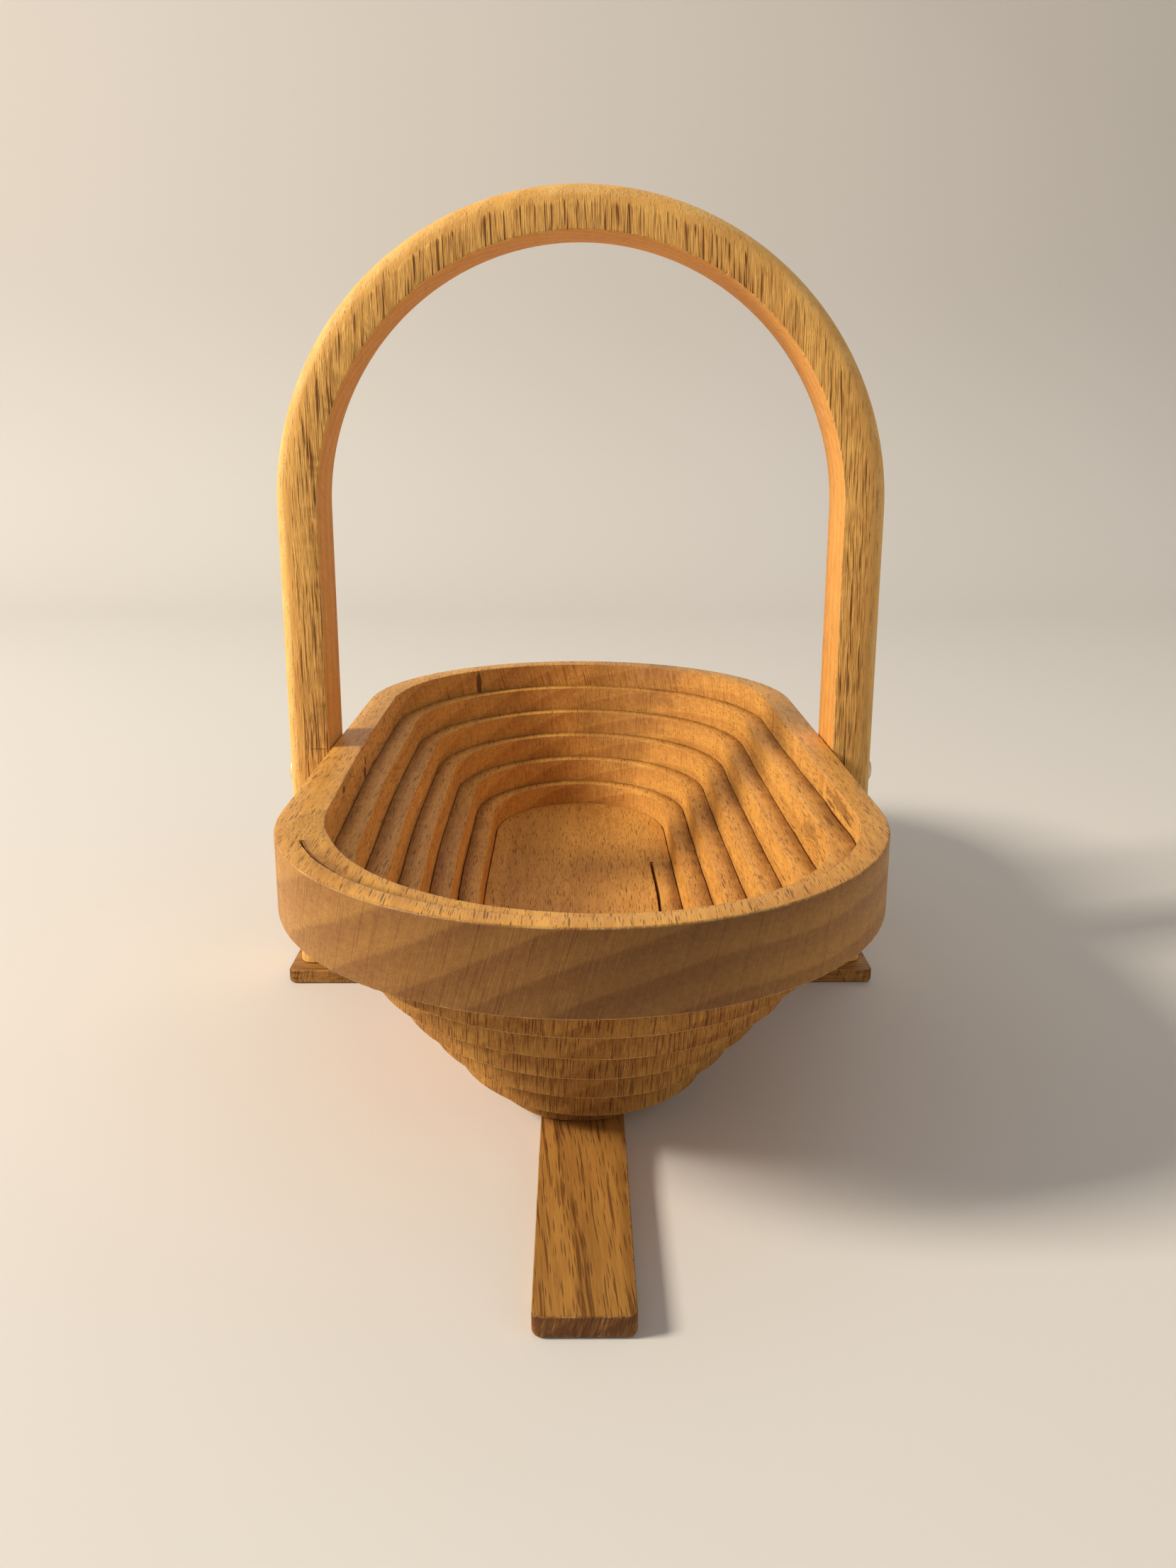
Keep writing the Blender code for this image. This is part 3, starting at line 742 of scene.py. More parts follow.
def join_rings(work, rings):
    """Faces between neighbouring rings of points, and a lid at each end."""
    for ring, following in zip(rings, rings[1:]):
        for index in range(len(ring)):
            after = (index + 1) % len(ring)
            work.faces.new((ring[index], following[index], following[after], ring[after]))
    work.faces.new(rings[0])
    work.faces.new(reversed(rings[-1]))


def slab(name, outline, bottom, top, rounding, material, lean=0.0, low_rounding=None, sunk=0.0):
    """A flat piece with rounded edges all round, from points with their inward directions.

    Each point of the outline is (place, inward direction, end grain, distance along).
    """
    low = low_rounding or rounding
    levels = []
    turns = [QUARTER_TURN * index / SLAB_STEPS for index in range(SLAB_STEPS + 1)]
    for radius, level, sign in ((rounding, top, 1), (low, bottom, -1)):
        for turn in turns[::sign]:
            levels.append((radius * (1.0 - math.sin(turn)),
                           level - sign * radius * (1.0 - math.cos(turn)),
                           math.sin(turn), sign * math.cos(turn)))
    work = bmesh.new()
    layers = {key: work.verts.layers.float.new(key)
              for key in ("along", "depth", "side", "upward", "across", "end_grain")}
    grown = work.verts.layers.float_vector.new("grown")
    rings = []
    for inset, height, side, upward in levels:
        ring = []
        for place, inward, end_grain, along in outline:
            spot = Vector(place) + Vector(inward) * (inset + (top - height) * lean)
            vertex = work.verts.new((spot.x, spot.y, height))
            vertex[grown] = (spot.x, spot.y, height + sunk)
            for key, value in (("along", along), ("depth", top - height), ("side", side),
                               ("upward", upward), ("across", FAR_ACROSS),
                               ("end_grain", end_grain)):
                vertex[layers[key]] = value
            ring.append(vertex)
        rings.append(ring)
    join_rings(work, rings)
    return finished(name, work, material, SHARP_ANGLE)


def lathe(name, profile, origin, axis, material):
    """A turned piece from (radius, distance along the axis), closed at both ends."""
    axis = Vector(axis)
    spoke = axis.orthogonal().normalized()
    other = axis.cross(spoke)
    work = bmesh.new()
    grown = work.verts.layers.float_vector.new("grown")
    rings = []
    for radius, along in profile:
        ring = []
        for index in range(LATHE_SIDES):
            turn = 2.0 * math.pi * index / LATHE_SIDES
            out = spoke * math.cos(turn) + other * math.sin(turn)
            spot = Vector(origin) + axis * along + out * radius
            ring.append(work.verts.new(spot))
            ring[-1][grown] = spot
        rings.append(ring)
    join_rings(work, rings)
    return finished(name, work, material, TURNED_SHARP_ANGLE)


def block(name, low, high, material):
    """A plain cutter between two corners."""
    work = bmesh.new()
    bmesh.ops.create_cube(work, size=1.0)
    grown = work.verts.layers.float_vector.new("grown")
    for vertex in work.verts:
        for axis in range(3):
            vertex.co[axis] = high[axis] if vertex.co[axis] > 0.0 else low[axis]
        vertex[grown] = vertex.co
    return finished(name, work, material)


def carve(piece, cutters):
    """Take the cutters away from a piece, and keep the result as its mesh."""
    for cutter in cutters:
        modifier = piece.modifiers.new("cut", "BOOLEAN")
        modifier.operation = "DIFFERENCE"
        modifier.solver = "EXACT"
        modifier.object = cutter
    depsgraph = bpy.context.evaluated_depsgraph_get()
    mesh = bpy.data.meshes.new_from_object(piece.evaluated_get(depsgraph))
    piece.modifiers.clear()
    piece.data = mesh
    mesh.attributes["grown"].data.foreach_set(
        "vector", [part for vertex in mesh.vertices for part in vertex.co])
    mesh.set_sharp_from_angle(angle=TURNED_SHARP_ANGLE)
    for cutter in cutters:
        bpy.data.objects.remove(cutter)


# Shared shader groups. No link goes from a colour to a vector in them or in the materials,
# because such links take so much of Cycles' stack that a big material would turn black.

def stretched(place, across, along):
    """Coordinates in which a spot of the given breadth and length along the grain is one."""
    return place.vector("DIVIDE", (across, across, along))


def stray_vector(place, scale, detail):
    """A vector that strays round nought with a noise."""
    colour = result_of(place.tree, "ShaderNodeTexNoise", {
        "Vector": place, "Scale": scale, "Detail": detail}, "Color")
    split = add_node(place.tree, "ShaderNodeSeparateColor", {0: colour}).outputs
    return together(place.tree, *[Value(place.tree, part) for part in split]).vector(
        "SUBTRACT", (0.5, 0.5, 0.5))


def figure_nodes(given):
    """Growth rings round a pith outside the board, fine fibres, short flecks and soft clouds."""
    place = given["Place"]
    stray = stray_vector(stretched(place, 0.060, 0.160), 1.0, 2.0)
    bent = place.vector("ADD", stray.scaled(given["Waviness"]))
    radius = bent.vector("MULTIPLY", (1.0, 1.0, 0.0)).vector(
        "DISTANCE", given["Pith"], output="Value")
    phase = (radius / given["Ring Width"]).math("FRACT")
    return {
        "Rings": phase.ramp(0.1, 0.85) * phase.ramp(1.0, 0.88),
        "Early Wood": phase.ramp(0.0, 0.08) * phase.ramp(0.30, 0.18),
        "Fibre": stretched(bent, 0.00040, 0.014).noise(detail=3.0, roughness=0.62),
        "Flecks": stretched(bent, 0.0014, 0.011).noise(),
        "Clouds": stretched(place, 0.024, 0.070).noise(detail=3.0),
    }


def pore_nodes(given):
    """Dark dashes along the grain, where open pores are cut lengthwise."""
    place = given["Place"]
    tree = place.tree
    sway = stretched(place, 0.012, 0.045).noise(detail=1.0) * given["Sway"]
    bent = place.vector("ADD", result_of(tree, "ShaderNodeVectorMath", {
        0: (1.0, 1.0, 0.0), "Scale": sway}, operation="SCALE"))
    layers = []
    for size, grow, spare, share_shown in ((1.0, 0.36, 0.16, 0.75), (1.8, 0.72, -0.24, 1.0)):
        across = given["Spacing"] * size
        cells = together(tree, across, across, given["Length"] * size)
        dashes = add_node(tree, "ShaderNodeTexVoronoi", {
            "Vector": bent.vector("DIVIDE", cells).vector("ADD", (size, size, size)),
            "Scale": 1.0})
        chance = result_of(tree, "ShaderNodeSeparateColor", {
            0: Value(tree, dashes.outputs["Color"])})
        reach = chance.math("MULTIPLY_ADD", grow, spare).math("MAXIMUM", 0.001) * given["Amount"]
        layers.append(Value(tree, dashes.outputs["Distance"]).ramp(
            reach, reach * 0.4, 0.0, share_shown))
    return {"Pores": layers[0].math("MAXIMUM", layers[1])}


def saw_nodes(given):
    """What a blade left on a sawn face: fine strokes, deep tears and broad waves."""
    slanted = given["Run"].math("MULTIPLY_ADD", given["Slant"], given["Across"])
    results = {}
    for key, broad, long, shift, detail in (("Strokes", 1.0, 1.0, 0.0, 3.0),
                                            ("Tears", 1.6, 1.5, 4.3, 1.0),
                                            ("Waves", 9.0, 2.0, 8.7, 2.0)):
        spot = together(slanted.tree, slanted / (given["Width"] * broad),
                        given["Run"] / (given["Length"] * long), shift)
        results[key] = spot.noise(detail=detail, roughness=0.6)
    results["Tears"] = results["Tears"].ramp(0.56, 0.70)
    return results


def edge_nodes(given):
    """Torn, worn fibres along the edges between two faces, broken up by noise."""
    corner = abs(given["Side"] * given["Upward"]) * 2.0
    broken = given["Place"].noise(1100.0, 3.0, 0.7) + given["Place"].noise(120.0)
    return {"Edge": corner.ramp(0.25, 0.9) * (broken * given["Cover"]).ramp(0.42, 0.62)}


def mark_nodes(given):
    """One ragged spot, such as a knot, a split or a line, round its centre."""
    half_size = given["Half Size"]
    stray = stray_vector(given["Place"].vector("DIVIDE", half_size), 1.3, 3.0)
    moved = stray.scaled(given["Ragged"]).vector("MULTIPLY_ADD", half_size, given["Place"])
    apart = moved.vector("SUBTRACT", given["Centre"]).vector("DIVIDE", half_size)
    return {"Mark": apart.vector("LENGTH", output="Value").ramp(1.15, 0.65)}


SHADER_GROUPS = {
    "Oak Figure": (figure_nodes, {
        "Place": ("Vector", None), "Pith": ("Vector", (0.06, -0.09, 0.0)),
        "Ring Width": ("Float", 0.005), "Waviness": ("Float", 0.01),
    }, ("Rings", "Early Wood", "Fibre", "Flecks", "Clouds")),
    "Oak Pores": (pore_nodes, {
        "Place": ("Vector", None), "Spacing": ("Float", 0.0005), "Length": ("Float", 0.006),
        "Amount": ("Float", 1.0), "Sway": ("Float", 0.0015),
    }, ("Pores",)),
    "Saw Strokes": (saw_nodes, {
        "Across": ("Float", 0.0), "Run": ("Float", 0.0), "Width": ("Float", 0.0004),
        "Length": ("Float", 0.01), "Slant": ("Float", 0.05),
    }, ("Strokes", "Tears", "Waves")),
    "Torn Edge": (edge_nodes, {
        "Place": ("Vector", None), "Side": ("Float", 0.0), "Upward": ("Float", 0.0),
        "Cover": ("Float", 0.5),
    }, ("Edge",)),
    "Wood Mark": (mark_nodes, {
        "Place": ("Vector", None), "Centre": ("Vector", None),
        "Half Size": ("Vector", (0.001, 0.001, 0.001)), "Ragged": ("Float", 0.5),
    }, ("Mark",)),
}


def use_group(tree, name, inputs):
    """Place one of the shared shader groups, made at its first use, and give its outputs."""
    build, sockets, results = SHADER_GROUPS[name]
    group = bpy.data.node_groups.get(name)
    if group is None:
        group, given, result = new_tree(name, "ShaderNodeTree", sockets,
                                        {key: ("Float", None) for key in results})
        for key, value in build(given).items():
            group.links.new(value.socket, result[key])
    made = add_node(tree, "ShaderNodeGroup", inputs, node_tree=group)
    return {key: Value(tree, made.outputs[key]) for key in results}


# Materials

def new_material(name):
    """A material with its shader, ready for nodes."""
    material = bpy.data.materials.new(name)
    material.use_nodes = True
    return material, material.node_tree, material.node_tree.nodes["Principled BSDF"]


def mix_colours(factor, below, above):
    """Lay one colour over another."""
    return result_of(factor.tree, "ShaderNodeMix", {0: factor, 6: below, 7: above}, 2,
                     data_type="RGBA")


class Wood:
    """An oiled wood, built up in layers of tone, stain, roughness and relief."""

    def __init__(self, name, grain_axis, light, dark, offset=(0.0, 0.0, 0.0)):
        self.material, self.tree, self.shader = new_material(name)
        self.light = light
        self.dark = dark
        self.place = self.carried("grown", "Vector")
        parts = self.place.parts()
        self.x, _, self.z = parts
        order = {"X": (1, 2, 0), "Y": (0, 2, 1), "Z": (0, 1, 2)}[grain_axis]
        self.grain = together(self.tree, *[parts[source] for source in order]).vector(
            "ADD", offset)
        self.side = self.carried("side")
        self.upward = self.carried("upward")
        self.along = self.carried("along")
        self.depth = self.carried("depth")
        self.across = self.carried("across")
        self.end_grain = abs(self.side) * self.carried("end_grain")
        self.tone = 0.0
        self.base_tone = 0.0
        self.rough = 0.0
        self.height = 0.0
        self.stains = []
        self.unmarked = None

    def carried(self, name, output="Fac"):
        """What the mesh carries at each point."""
        return result_of(self.tree, "ShaderNodeAttribute", {}, output, attribute_name=name)

    def use(self, name, inputs):
        """Place one of the shared shader groups."""
        return use_group(self.tree, name, inputs)

    def lay(self, mask, tone=0.0, rough=0.0, relief=0.0, **stains):
        """Change the wood under a mask: its tone, its roughness, its height in millimetres, and
        how much of each named colour lies over it.
        """
        if tone:
            self.tone = mask.math("MULTIPLY_ADD", tone, self.tone)
        if rough:
            self.rough = mask.math("MULTIPLY_ADD", rough, self.rough)
        if relief:
            self.height = mask.math("MULTIPLY_ADD", relief, self.height)
        for name, amount in stains.items():
            self.stains.append((mask * amount, getattr(settings().wood, name)))

    def add_figure(self, ring_width, ring_tone, waviness=0.010):
        """Rings, fibres, flecks and clouds of the grown wood. The tone strays both ways."""
        figure = self.use("Oak Figure", {
            "Place": self.grain, "Ring Width": ring_width, "Waviness": waviness})
        self.early_wood = figure["Early Wood"]
        self.rings = figure["Rings"]
        for key, tone, rough, relief in (
            ("Rings", ring_tone, 0.0, 0.0), ("Fibre", 0.55, 0.16, 0.07),
            ("Flecks", 0.50, 0.0, 0.05), ("Clouds", 0.48, 0.0, 0.0),
        ):
            self.lay(figure[key], tone, rough, relief)
            self.base_tone -= tone / 2

    def add_pores(self, spacing, length, amount, strength, sway=0.0015):
        """Dark dashes of open pores, or of longer streaks."""
        pores = self.use("Oak Pores", {
            "Place": self.grain, "Spacing": spacing, "Length": length, "Amount": amount,
            "Sway": sway})["Pores"]
        cut_across = self.early_wood * self.end_grain * self.side.ramp(0.2, -0.2)
        shown = cut_across.math("MULTIPLY_ADD", 0.7, 1.0 - self.end_grain)
        self.lay(pores * shown, relief=-0.11, pore=strength)

    def add_saw_strokes(self, sawn, across, run, width, length, slant, strength=1.0):
        """Torn strokes in both tone and relief."""
        saw = self.use("Saw Strokes", {
            "Across": across, "Run": run, "Width": width, "Length": length, "Slant": slant})
        strokes, tears, waves = saw["Strokes"], saw["Tears"], saw["Waves"]
        self.lay((strokes - 0.5) * sawn, tone=-2.2 * strength, relief=0.55 * strength)
        self.lay(tears * sawn, tone=0.55 * strength, relief=-0.32 * strength)
        self.lay((waves - 0.5) * sawn, tone=0.2)
        self.lay(waves * sawn, relief=0.25 * strength)
        self.lay(strokes.ramp(0.60, 0.78) * sawn, fibre=0.55 * strength)
        self.lay(tears.ramp(0.55, 1.0) * sawn, pore=0.45 * strength)
        self.lay(sawn, rough=0.28)

    def add_torn_edges(self, cover, strength, low_share=1.0):
        """Pale fluff along the edges, and less of it along the upper ones where asked."""
        edge = self.use("Torn Edge", {
            "Place": self.place, "Side": self.side, "Upward": self.upward, "Cover": cover})["Edge"]
        self.lay(edge * self.upward.ramp(-0.3, 0.3, 1.0, low_share), rough=0.25, relief=0.12,
                 fibre=strength)

    def mark(self, centre, half_size, ragged):
        """Where one ragged spot lies."""
        return self.use("Wood Mark", {
            "Place": self.place, "Centre": centre, "Half Size": half_size,
            "Ragged": ragged})["Mark"]

    def add_marks(self, marks):
        """Knots, splits, lines and stains, each at its own place. They share one mask."""
        for centre, half_size, strength, ragged in marks:
            clear = self.mark(centre, half_size, ragged).math("MULTIPLY_ADD", -strength, 1.0)
            self.unmarked = self.unmarked * clear if self.unmarked else clear

    def finish(self, base_tone, roughness, coat):
        """Join the layers in the shader."""
        if self.unmarked:
            self.lay(1.0 - self.unmarked, relief=-0.14, pore=1.0)
        tone = self.tone.math("ADD", self.base_tone + base_tone, clamp=True)
        colour = mix_colours(tone, self.light, self.dark)
        for mask, stain in self.stains:
            colour = mix_colours(mask.math("ADD", 0.0, clamp=True), colour, stain)
        rough = self.rough.math("ADD", roughness, clamp=True)
        bump = result_of(self.tree, "ShaderNodeBump", {
            "Height": self.height, "Distance": MILLIMETRE, "Strength": 1.0}, "Normal")
        for key, value in (("Base Color", colour), ("Roughness", rough), ("Normal", bump)):
            self.tree.links.new(value.socket, self.shader.inputs[key])
        for key, value in (("Specular IOR Level", OIL_SPECULAR), ("Coat Weight", coat),
                           ("Coat Roughness", OIL_COAT_ROUGHNESS)):
            self.shader.inputs[key].default_value = value
        return self.material


def board_wood(name, ring_tone, outer_stain_and_shade):
    """Oak as it grew in the board, with the grain from front to back."""
    colours = settings().wood
    wood = Wood(name, "Y", colours.board_light, colours.board_dark)
    wood.add_figure(0.0088, ring_tone)
    outer = wood.end_grain * wood.side.ramp(-0.2, 0.4)
    # Partly real and partly painted shade: the walls across the grain are darker for their end
    # grain, and also to stand for the shade on the front outer wall. The outer ones take the end
    # grain colour, with darker rings.
    wood.lay(wood.end_grain, tone=0.22)
    wood.lay(outer, end_grain=outer_stain_and_shade)
    wood.lay(outer * wood.rings, groove=outer_stain_and_shade * 0.22)
    wood.add_pores(spacing=0.00038, length=0.0052, amount=1.0, strength=0.66)
    return wood


def sawn_walls(wood, outer_share):
    """How far a point lies on a sawn wall. The inner walls are sanded by hand, so less shows."""
    outer = wood.side.math("MAXIMUM", 0.0) * outer_share
    return outer + (wood.side * -INNER_WALL_SHARE).math("MAXIMUM", 0.0)


def sawn_material():
    """The free turns and the floor, sawn on both their walls."""
    made = bpy.data.materials.get("sawn_oak")
    if made:
        return made
    wood = board_wood("sawn_oak", ring_tone=0.18, outer_stain_and_shade=0.34)
    wood.add_marks(TURN_MARKS)
    wood.add_saw_strokes(sawn_walls(wood, 1.0), wood.along, wood.depth,
                         width=0.00032, length=0.0046, slant=0.10, strength=0.72)
    wood.add_torn_edges(cover=0.55, strength=0.55, low_share=0.12)
    # Painted shade with some dust: the outer top corner of each turn, down in the cut beside the
    # turn outside it, is darkened with the groove colour.
    wood.lay(wood.side.ramp(0.15, 0.6) * wood.upward.ramp(0.1, 0.5), groove=0.75)
    # Painted shade: the tread is darkened with the pore colour near the foot of the wall that rises
    # beside it, broken up by noise.
    foot = wood.across.ramp(0.0044, 0.0002) * wood.upward.ramp(0.6, 0.9)
    wood.lay(foot * wood.place.noise(160.0).ramp(0.25, 0.6, 0.55, 1.0), pore=0.62)
    return wood.finish(base_tone=0.34, roughness=0.42, coat=0.03)


def rim_material():
    """The rim, sanded and oiled outside and sawn inside."""
    # The rim's outer walls are darkened most, partly as painted shade on its front wall.
    wood = board_wood("rim_oak", ring_tone=0.16, outer_stain_and_shade=0.72)
    wood.add_saw_strokes(sawn_walls(wood, 0.16), wood.along, wood.depth,
                         width=0.00050, length=0.012, slant=0.30)
    wood.add_torn_edges(cover=0.50, strength=0.35)
    wood.add_marks(RIM_MARKS)
    # Painted shade of the gap, with kerf dust: a dark line along the rim's inner top edge where the
    # kerf starts.
    start = wood.along.ramp(-0.62, -0.72) * wood.side.ramp(-0.25, -0.6)
    wood.lay(start * wood.upward.ramp(0.2, 0.6), groove=0.85)
    patch = wood.mark(*ROUGH_PATCH)
    pits = wood.place.noise(1500.0, 3.0, 0.7)
    wood.lay(pits * patch, relief=0.6)
    wood.lay((pits - 0.5) * patch, tone=1.2)
    return wood.finish(base_tone=0.36, roughness=0.38, coat=0.08)


def handle_material():
    """The handle: torn on its front and back, sanded outside, scratched across inside."""
    colours = settings().wood
    wood = Wood("handle_oak", "Z", colours.handle_light, colours.handle_dark,
                (0.013, 0.021, 0.0))
    wood.add_figure(0.0060, 0.18)
    wood.add_pores(spacing=0.00055, length=0.0085, amount=0.9, strength=0.45)
    ragged = stretched(wood.place, 0.0016, 0.006).noise(1.0, 3.0, 0.7).math(
        "MULTIPLY_ADD", 0.0040, wood.across)
    torn = ragged.ramp(0.0062, 0.0078) * abs(wood.upward).ramp(0.86, 0.98)
    sway = stretched(wood.place, 0.010, 0.030).noise()
    wood.add_saw_strokes(torn, sway.math("MULTIPLY_ADD", 0.0014, wood.x), wood.z,
                         width=0.00036, length=0.0110, slant=0.02, strength=1.25)
    inside = wood.side.ramp(-0.5, -0.95)
    wood.lay(inside, rough=0.30, inner_face=0.35)
    scratches = wood.use("Saw Strokes", {
        "Across": wood.along, "Run": wood.depth, "Width": 0.00050, "Length": 0.016,
        "Slant": 0.35})["Strokes"]
    wood.lay(scratches.ramp(0.58, 0.70) * inside, fibre=0.50)
    wood.lay(scratches.ramp(0.40, 0.30) * inside, pore=0.30)
    wood.lay(scratches * inside, relief=0.10)
    wood.lay(wood.side.ramp(0.55, 0.95), tone=-0.16)
    wood.lay(wood.side.ramp(0.3, 0.9), rough=-0.08)
    wood.add_torn_edges(cover=0.50, strength=0.40)
    wood.add_marks(HANDLE_MARKS)
    return wood.finish(base_tone=0.26, roughness=0.42, coat=0.03)


def lath_material(name, grain_axis, offset):
    """A lath of the stand, with long dark streaks that wander across it."""
    colours = settings().wood
    wood = Wood(name, grain_axis, colours.lath_light, colours.lath_dark, offset)
    across, up, along = wood.grain.parts()
    wood.grain = together(wood.tree, along.math("MULTIPLY_ADD", STREAK_LEAN, across), up, along)
    wood.add_figure(0.0042, 0.25, 0.016)
    wood.lay(wood.end_grain, tone=0.5, pore=0.4)
    wood.add_pores(spacing=0.00060, length=0.0075, amount=1.0, strength=0.45)
    wood.add_pores(spacing=0.00095, length=0.0340, amount=1.15, strength=0.85, sway=0.006)
    wood.add_saw_strokes(abs(wood.side) * 0.6, wood.along, wood.depth,
                         width=0.00050, length=0.006, slant=0.3)
    wood.add_torn_edges(cover=0.46, strength=0.35)
    return wood.finish(base_tone=0.42, roughness=0.44, coat=0.06)


# Operators

class BASKET_OT_rim(bpy.types.Operator):
    """Make the rim, the outermost turn of the board"""

    bl_idname = "basket.rim"
    bl_label = "Rim"

    def execute(self, context):
        board = Board()
        rim = board.strip("board_rim", 0, 0, len(board.stations) - 1, rim_material())
        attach(rim, "rim_body")
        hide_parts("rim")
        return {"FINISHED"}


class BASKET_OT_turns(bpy.types.Operator):
    """Make the free turns of the spiral, each with the ramp that hangs it from the turn before"""

    bl_idname = "basket.turns"
    bl_label = "Turns"

    def execute(self, context):
        board = Board()
        for turn in range(1, board.sizes.turns + 1):
            body = f"turn_{turn}_body"
            ramp = board.strip(f"board_turn_{turn}_ramp", turn, 0, board.ramp_end,
                               sawn_material())
            board.bend(ramp, turn, board.ramp_end)
            rest = board.strip(f"board_turn_{turn}", turn, board.ramp_end,
                               len(board.stations) - 1, sawn_material())
            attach(rest, body)
            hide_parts(f"turn_{turn}")
        return {"FINISHED"}


class BASKET_OT_floor(bpy.types.Operator):
    """Make the floor of the bowl and the last strip of the spiral, which ends in a slit"""

    bl_idname = "basket.floor"
    bl_label = "Floor"

    def execute(self, context):
        board = Board()
        strip = board.sizes.turns + 1
        ramp = board.strip("board_floor_ramp", strip, 0, board.slit_end, sawn_material())
        board.bend(ramp, strip, board.slit_end)
        outline = []
        for station in board.stations[board.slit_end:-1]:
            outline.append(self.point(board, station, board.row(strip, station)["place"]))
        for station in board.stations[:board.slit_end + 1]:
            offset = board.kerf_offset(strip, station["share"]) + board.sizes.kerf / 2
            outline.append(self.point(board, station,
                                      station["point"] + station["inward"] * offset))
        floor = slab("board_floor", outline, FLOOR_LOW.z, board.floor_level,
                     board.sizes.sawn_rounding, sawn_material(), board.lean,
                     sunk=board.top - board.floor_level)
        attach(floor, "floor_body")
        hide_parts("basket_floor")
        return {"FINISHED"}

    def point(self, board, station, place):
        """One point of the floor's outline."""
        return (place, station["inward"], abs(station["inward"].y),
                station["share"] * board.round_length)


class BASKET_OT_handle(bpy.types.Operator):
    """Make the arched handle with its two legs"""

    bl_idname = "basket.handle"
    bl_label = "Handle"

    def execute(self, context):
        sizes = settings().handle
        radius = HANDLE_HIGH.x
        spring = HANDLE_HIGH.z - radius
        leg = HANDLE_LOW.z - spring
        line = []
        for index in range(sizes.leg_segments):
            line.append((-radius, leg * (1.0 - index / sizes.leg_segments), RIGHT))
        for index in range(sizes.arch_segments + 1):
            angle = math.pi * index / sizes.arch_segments
            outward = Vector((-math.cos(angle), 0.0, math.sin(angle)))
            line.append((outward.x * radius, outward.z * radius, -outward))
        for index in range(1, sizes.leg_segments + 1):
            line.append((radius, leg * index / sizes.leg_segments, -RIGHT))
        rows = []
        along = 0.0
        for x, rise, inward in line:
            place = Vector((x, HANDLE_LOW.y, spring + rise))
            along += (place - rows[-1]["place"]).length if rows else 0.0
            rows.append({
                "place": place, "inward": inward, "width": sizes.breadth, "outer_lean": 0.0,
                "inner_lean": 0.0, "along": along, "end_grain": abs(inward.z), "sunk": 0.0,
            })
        handle = sweep("handle_arch", rows, {
            "Thickness": HANDLE_HIGH.y - HANDLE_LOW.y,
            "Depth Direction": BACKWARD,
            "Outer Rounding": sizes.rounding,
            "Inner Rounding": sizes.easing,
            "Corner Steps": HANDLE_CORNER_STEPS,
            "Wobble": 0.0,
            "Wobble Length": 0.05,
            "Tear": sizes.tear,
            "Tear Length": sizes.tear_length,
        }, handle_material())
        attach(handle, "handle_frame")
        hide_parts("handle")
        return {"FINISHED"}


class BASKET_OT_stand(bpy.types.Operator):
    """Make the two laths of the stand, housed into each other"""

    bl_idname = "basket.stand"
    bl_label = "Stand"

    def execute(self, context):
        sizes = settings().stand
        gap = sizes.clearance
        oak = lath_material("crossbar_oak", "X", (0.0, 0.013, 0.0))
        crossbar = self.lath("stand_crossbar", CROSSBAR_LOW, CROSSBAR_HIGH, oak, RIGHT)
        top = CROSSBAR_HIGH.z + OVERCUT
        cutters = [block("notch", (FOOT_LOW.x - gap, CROSSBAR_LOW.y - OVERCUT, sizes.lap),
                         (FOOT_HIGH.x + gap, CROSSBAR_HIGH.y + OVERCUT, top), oak)]
        for side in ("left", "right"):
            low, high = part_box(f"leg_dowel_{side}")
            radius = (high.x - low.x) / 2 + gap
            cutters.append(lathe("hole", [(radius, -OVERCUT), (radius, top)],
                                 ((low.x + high.x) / 2, 0.0, 0.0), UP, oak))
        carve(crossbar, [*cutters, self.screw_hole(oak)])
        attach(crossbar, "stand")
        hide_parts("crossbar")
        oak = lath_material("foot_oak", "Y", (0.031, 0.007, 0.0))
        foot = self.lath("stand_long_foot", FOOT_LOW, FOOT_HIGH, oak, BACKWARD)
        housing = block("housing", (FOOT_LOW.x - OVERCUT, CROSSBAR_LOW.y - gap, -OVERCUT),
                        (FOOT_HIGH.x + OVERCUT, CROSSBAR_HIGH.y + gap, sizes.lap + gap), oak)
        carve(foot, [housing, self.screw_hole(oak)])
        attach(foot, "stand")
        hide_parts("long_foot")
        return {"FINISHED"}

    def screw_hole(self, material):
        """A countersunk hole for the screw from below."""
        low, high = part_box("foot_screw")
        sizes = settings().fasteners
        gap = settings().stand.clearance
        head = high.x + gap
        shank = sizes.foot_shank_radius + gap
        return lathe("sink", [
            (head, -OVERCUT), (head, low.z), (shank, low.z + sizes.foot_head_height),
            (shank, high.z + gap),
        ], (0.0, 0.0, 0.0), UP, material)

    def lath(self, name, low, high, material, grain):
        """One lath with rounded corners and worn edges."""
        sizes = settings().stand
        middle = (low + high) / 2
        half = (high - low) / 2
        outline = []
        corners = ((1, 1), (-1, 1), (-1, -1), (1, -1))
        for quadrant, (right, back) in enumerate(corners):
            for index in range(ROUND_STEPS + 1):
                turn = QUARTER_TURN * (quadrant + index / ROUND_STEPS)
                out = Vector((math.cos(turn), math.sin(turn), 0.0))
                centre = Vector((middle.x + right * (half.x - sizes.corner),
                                 middle.y + back * (half.y - sizes.corner), 0.0))
                place = centre + out * sizes.corner
                outline.append((place, -out, abs(out.dot(grain)), place.x + place.y))
        return slab(name, outline, low.z, high.z, sizes.easing, material,
                    low_rounding=sizes.low_easing)


# The fasteners keep the plain brass and beech that the frame brings

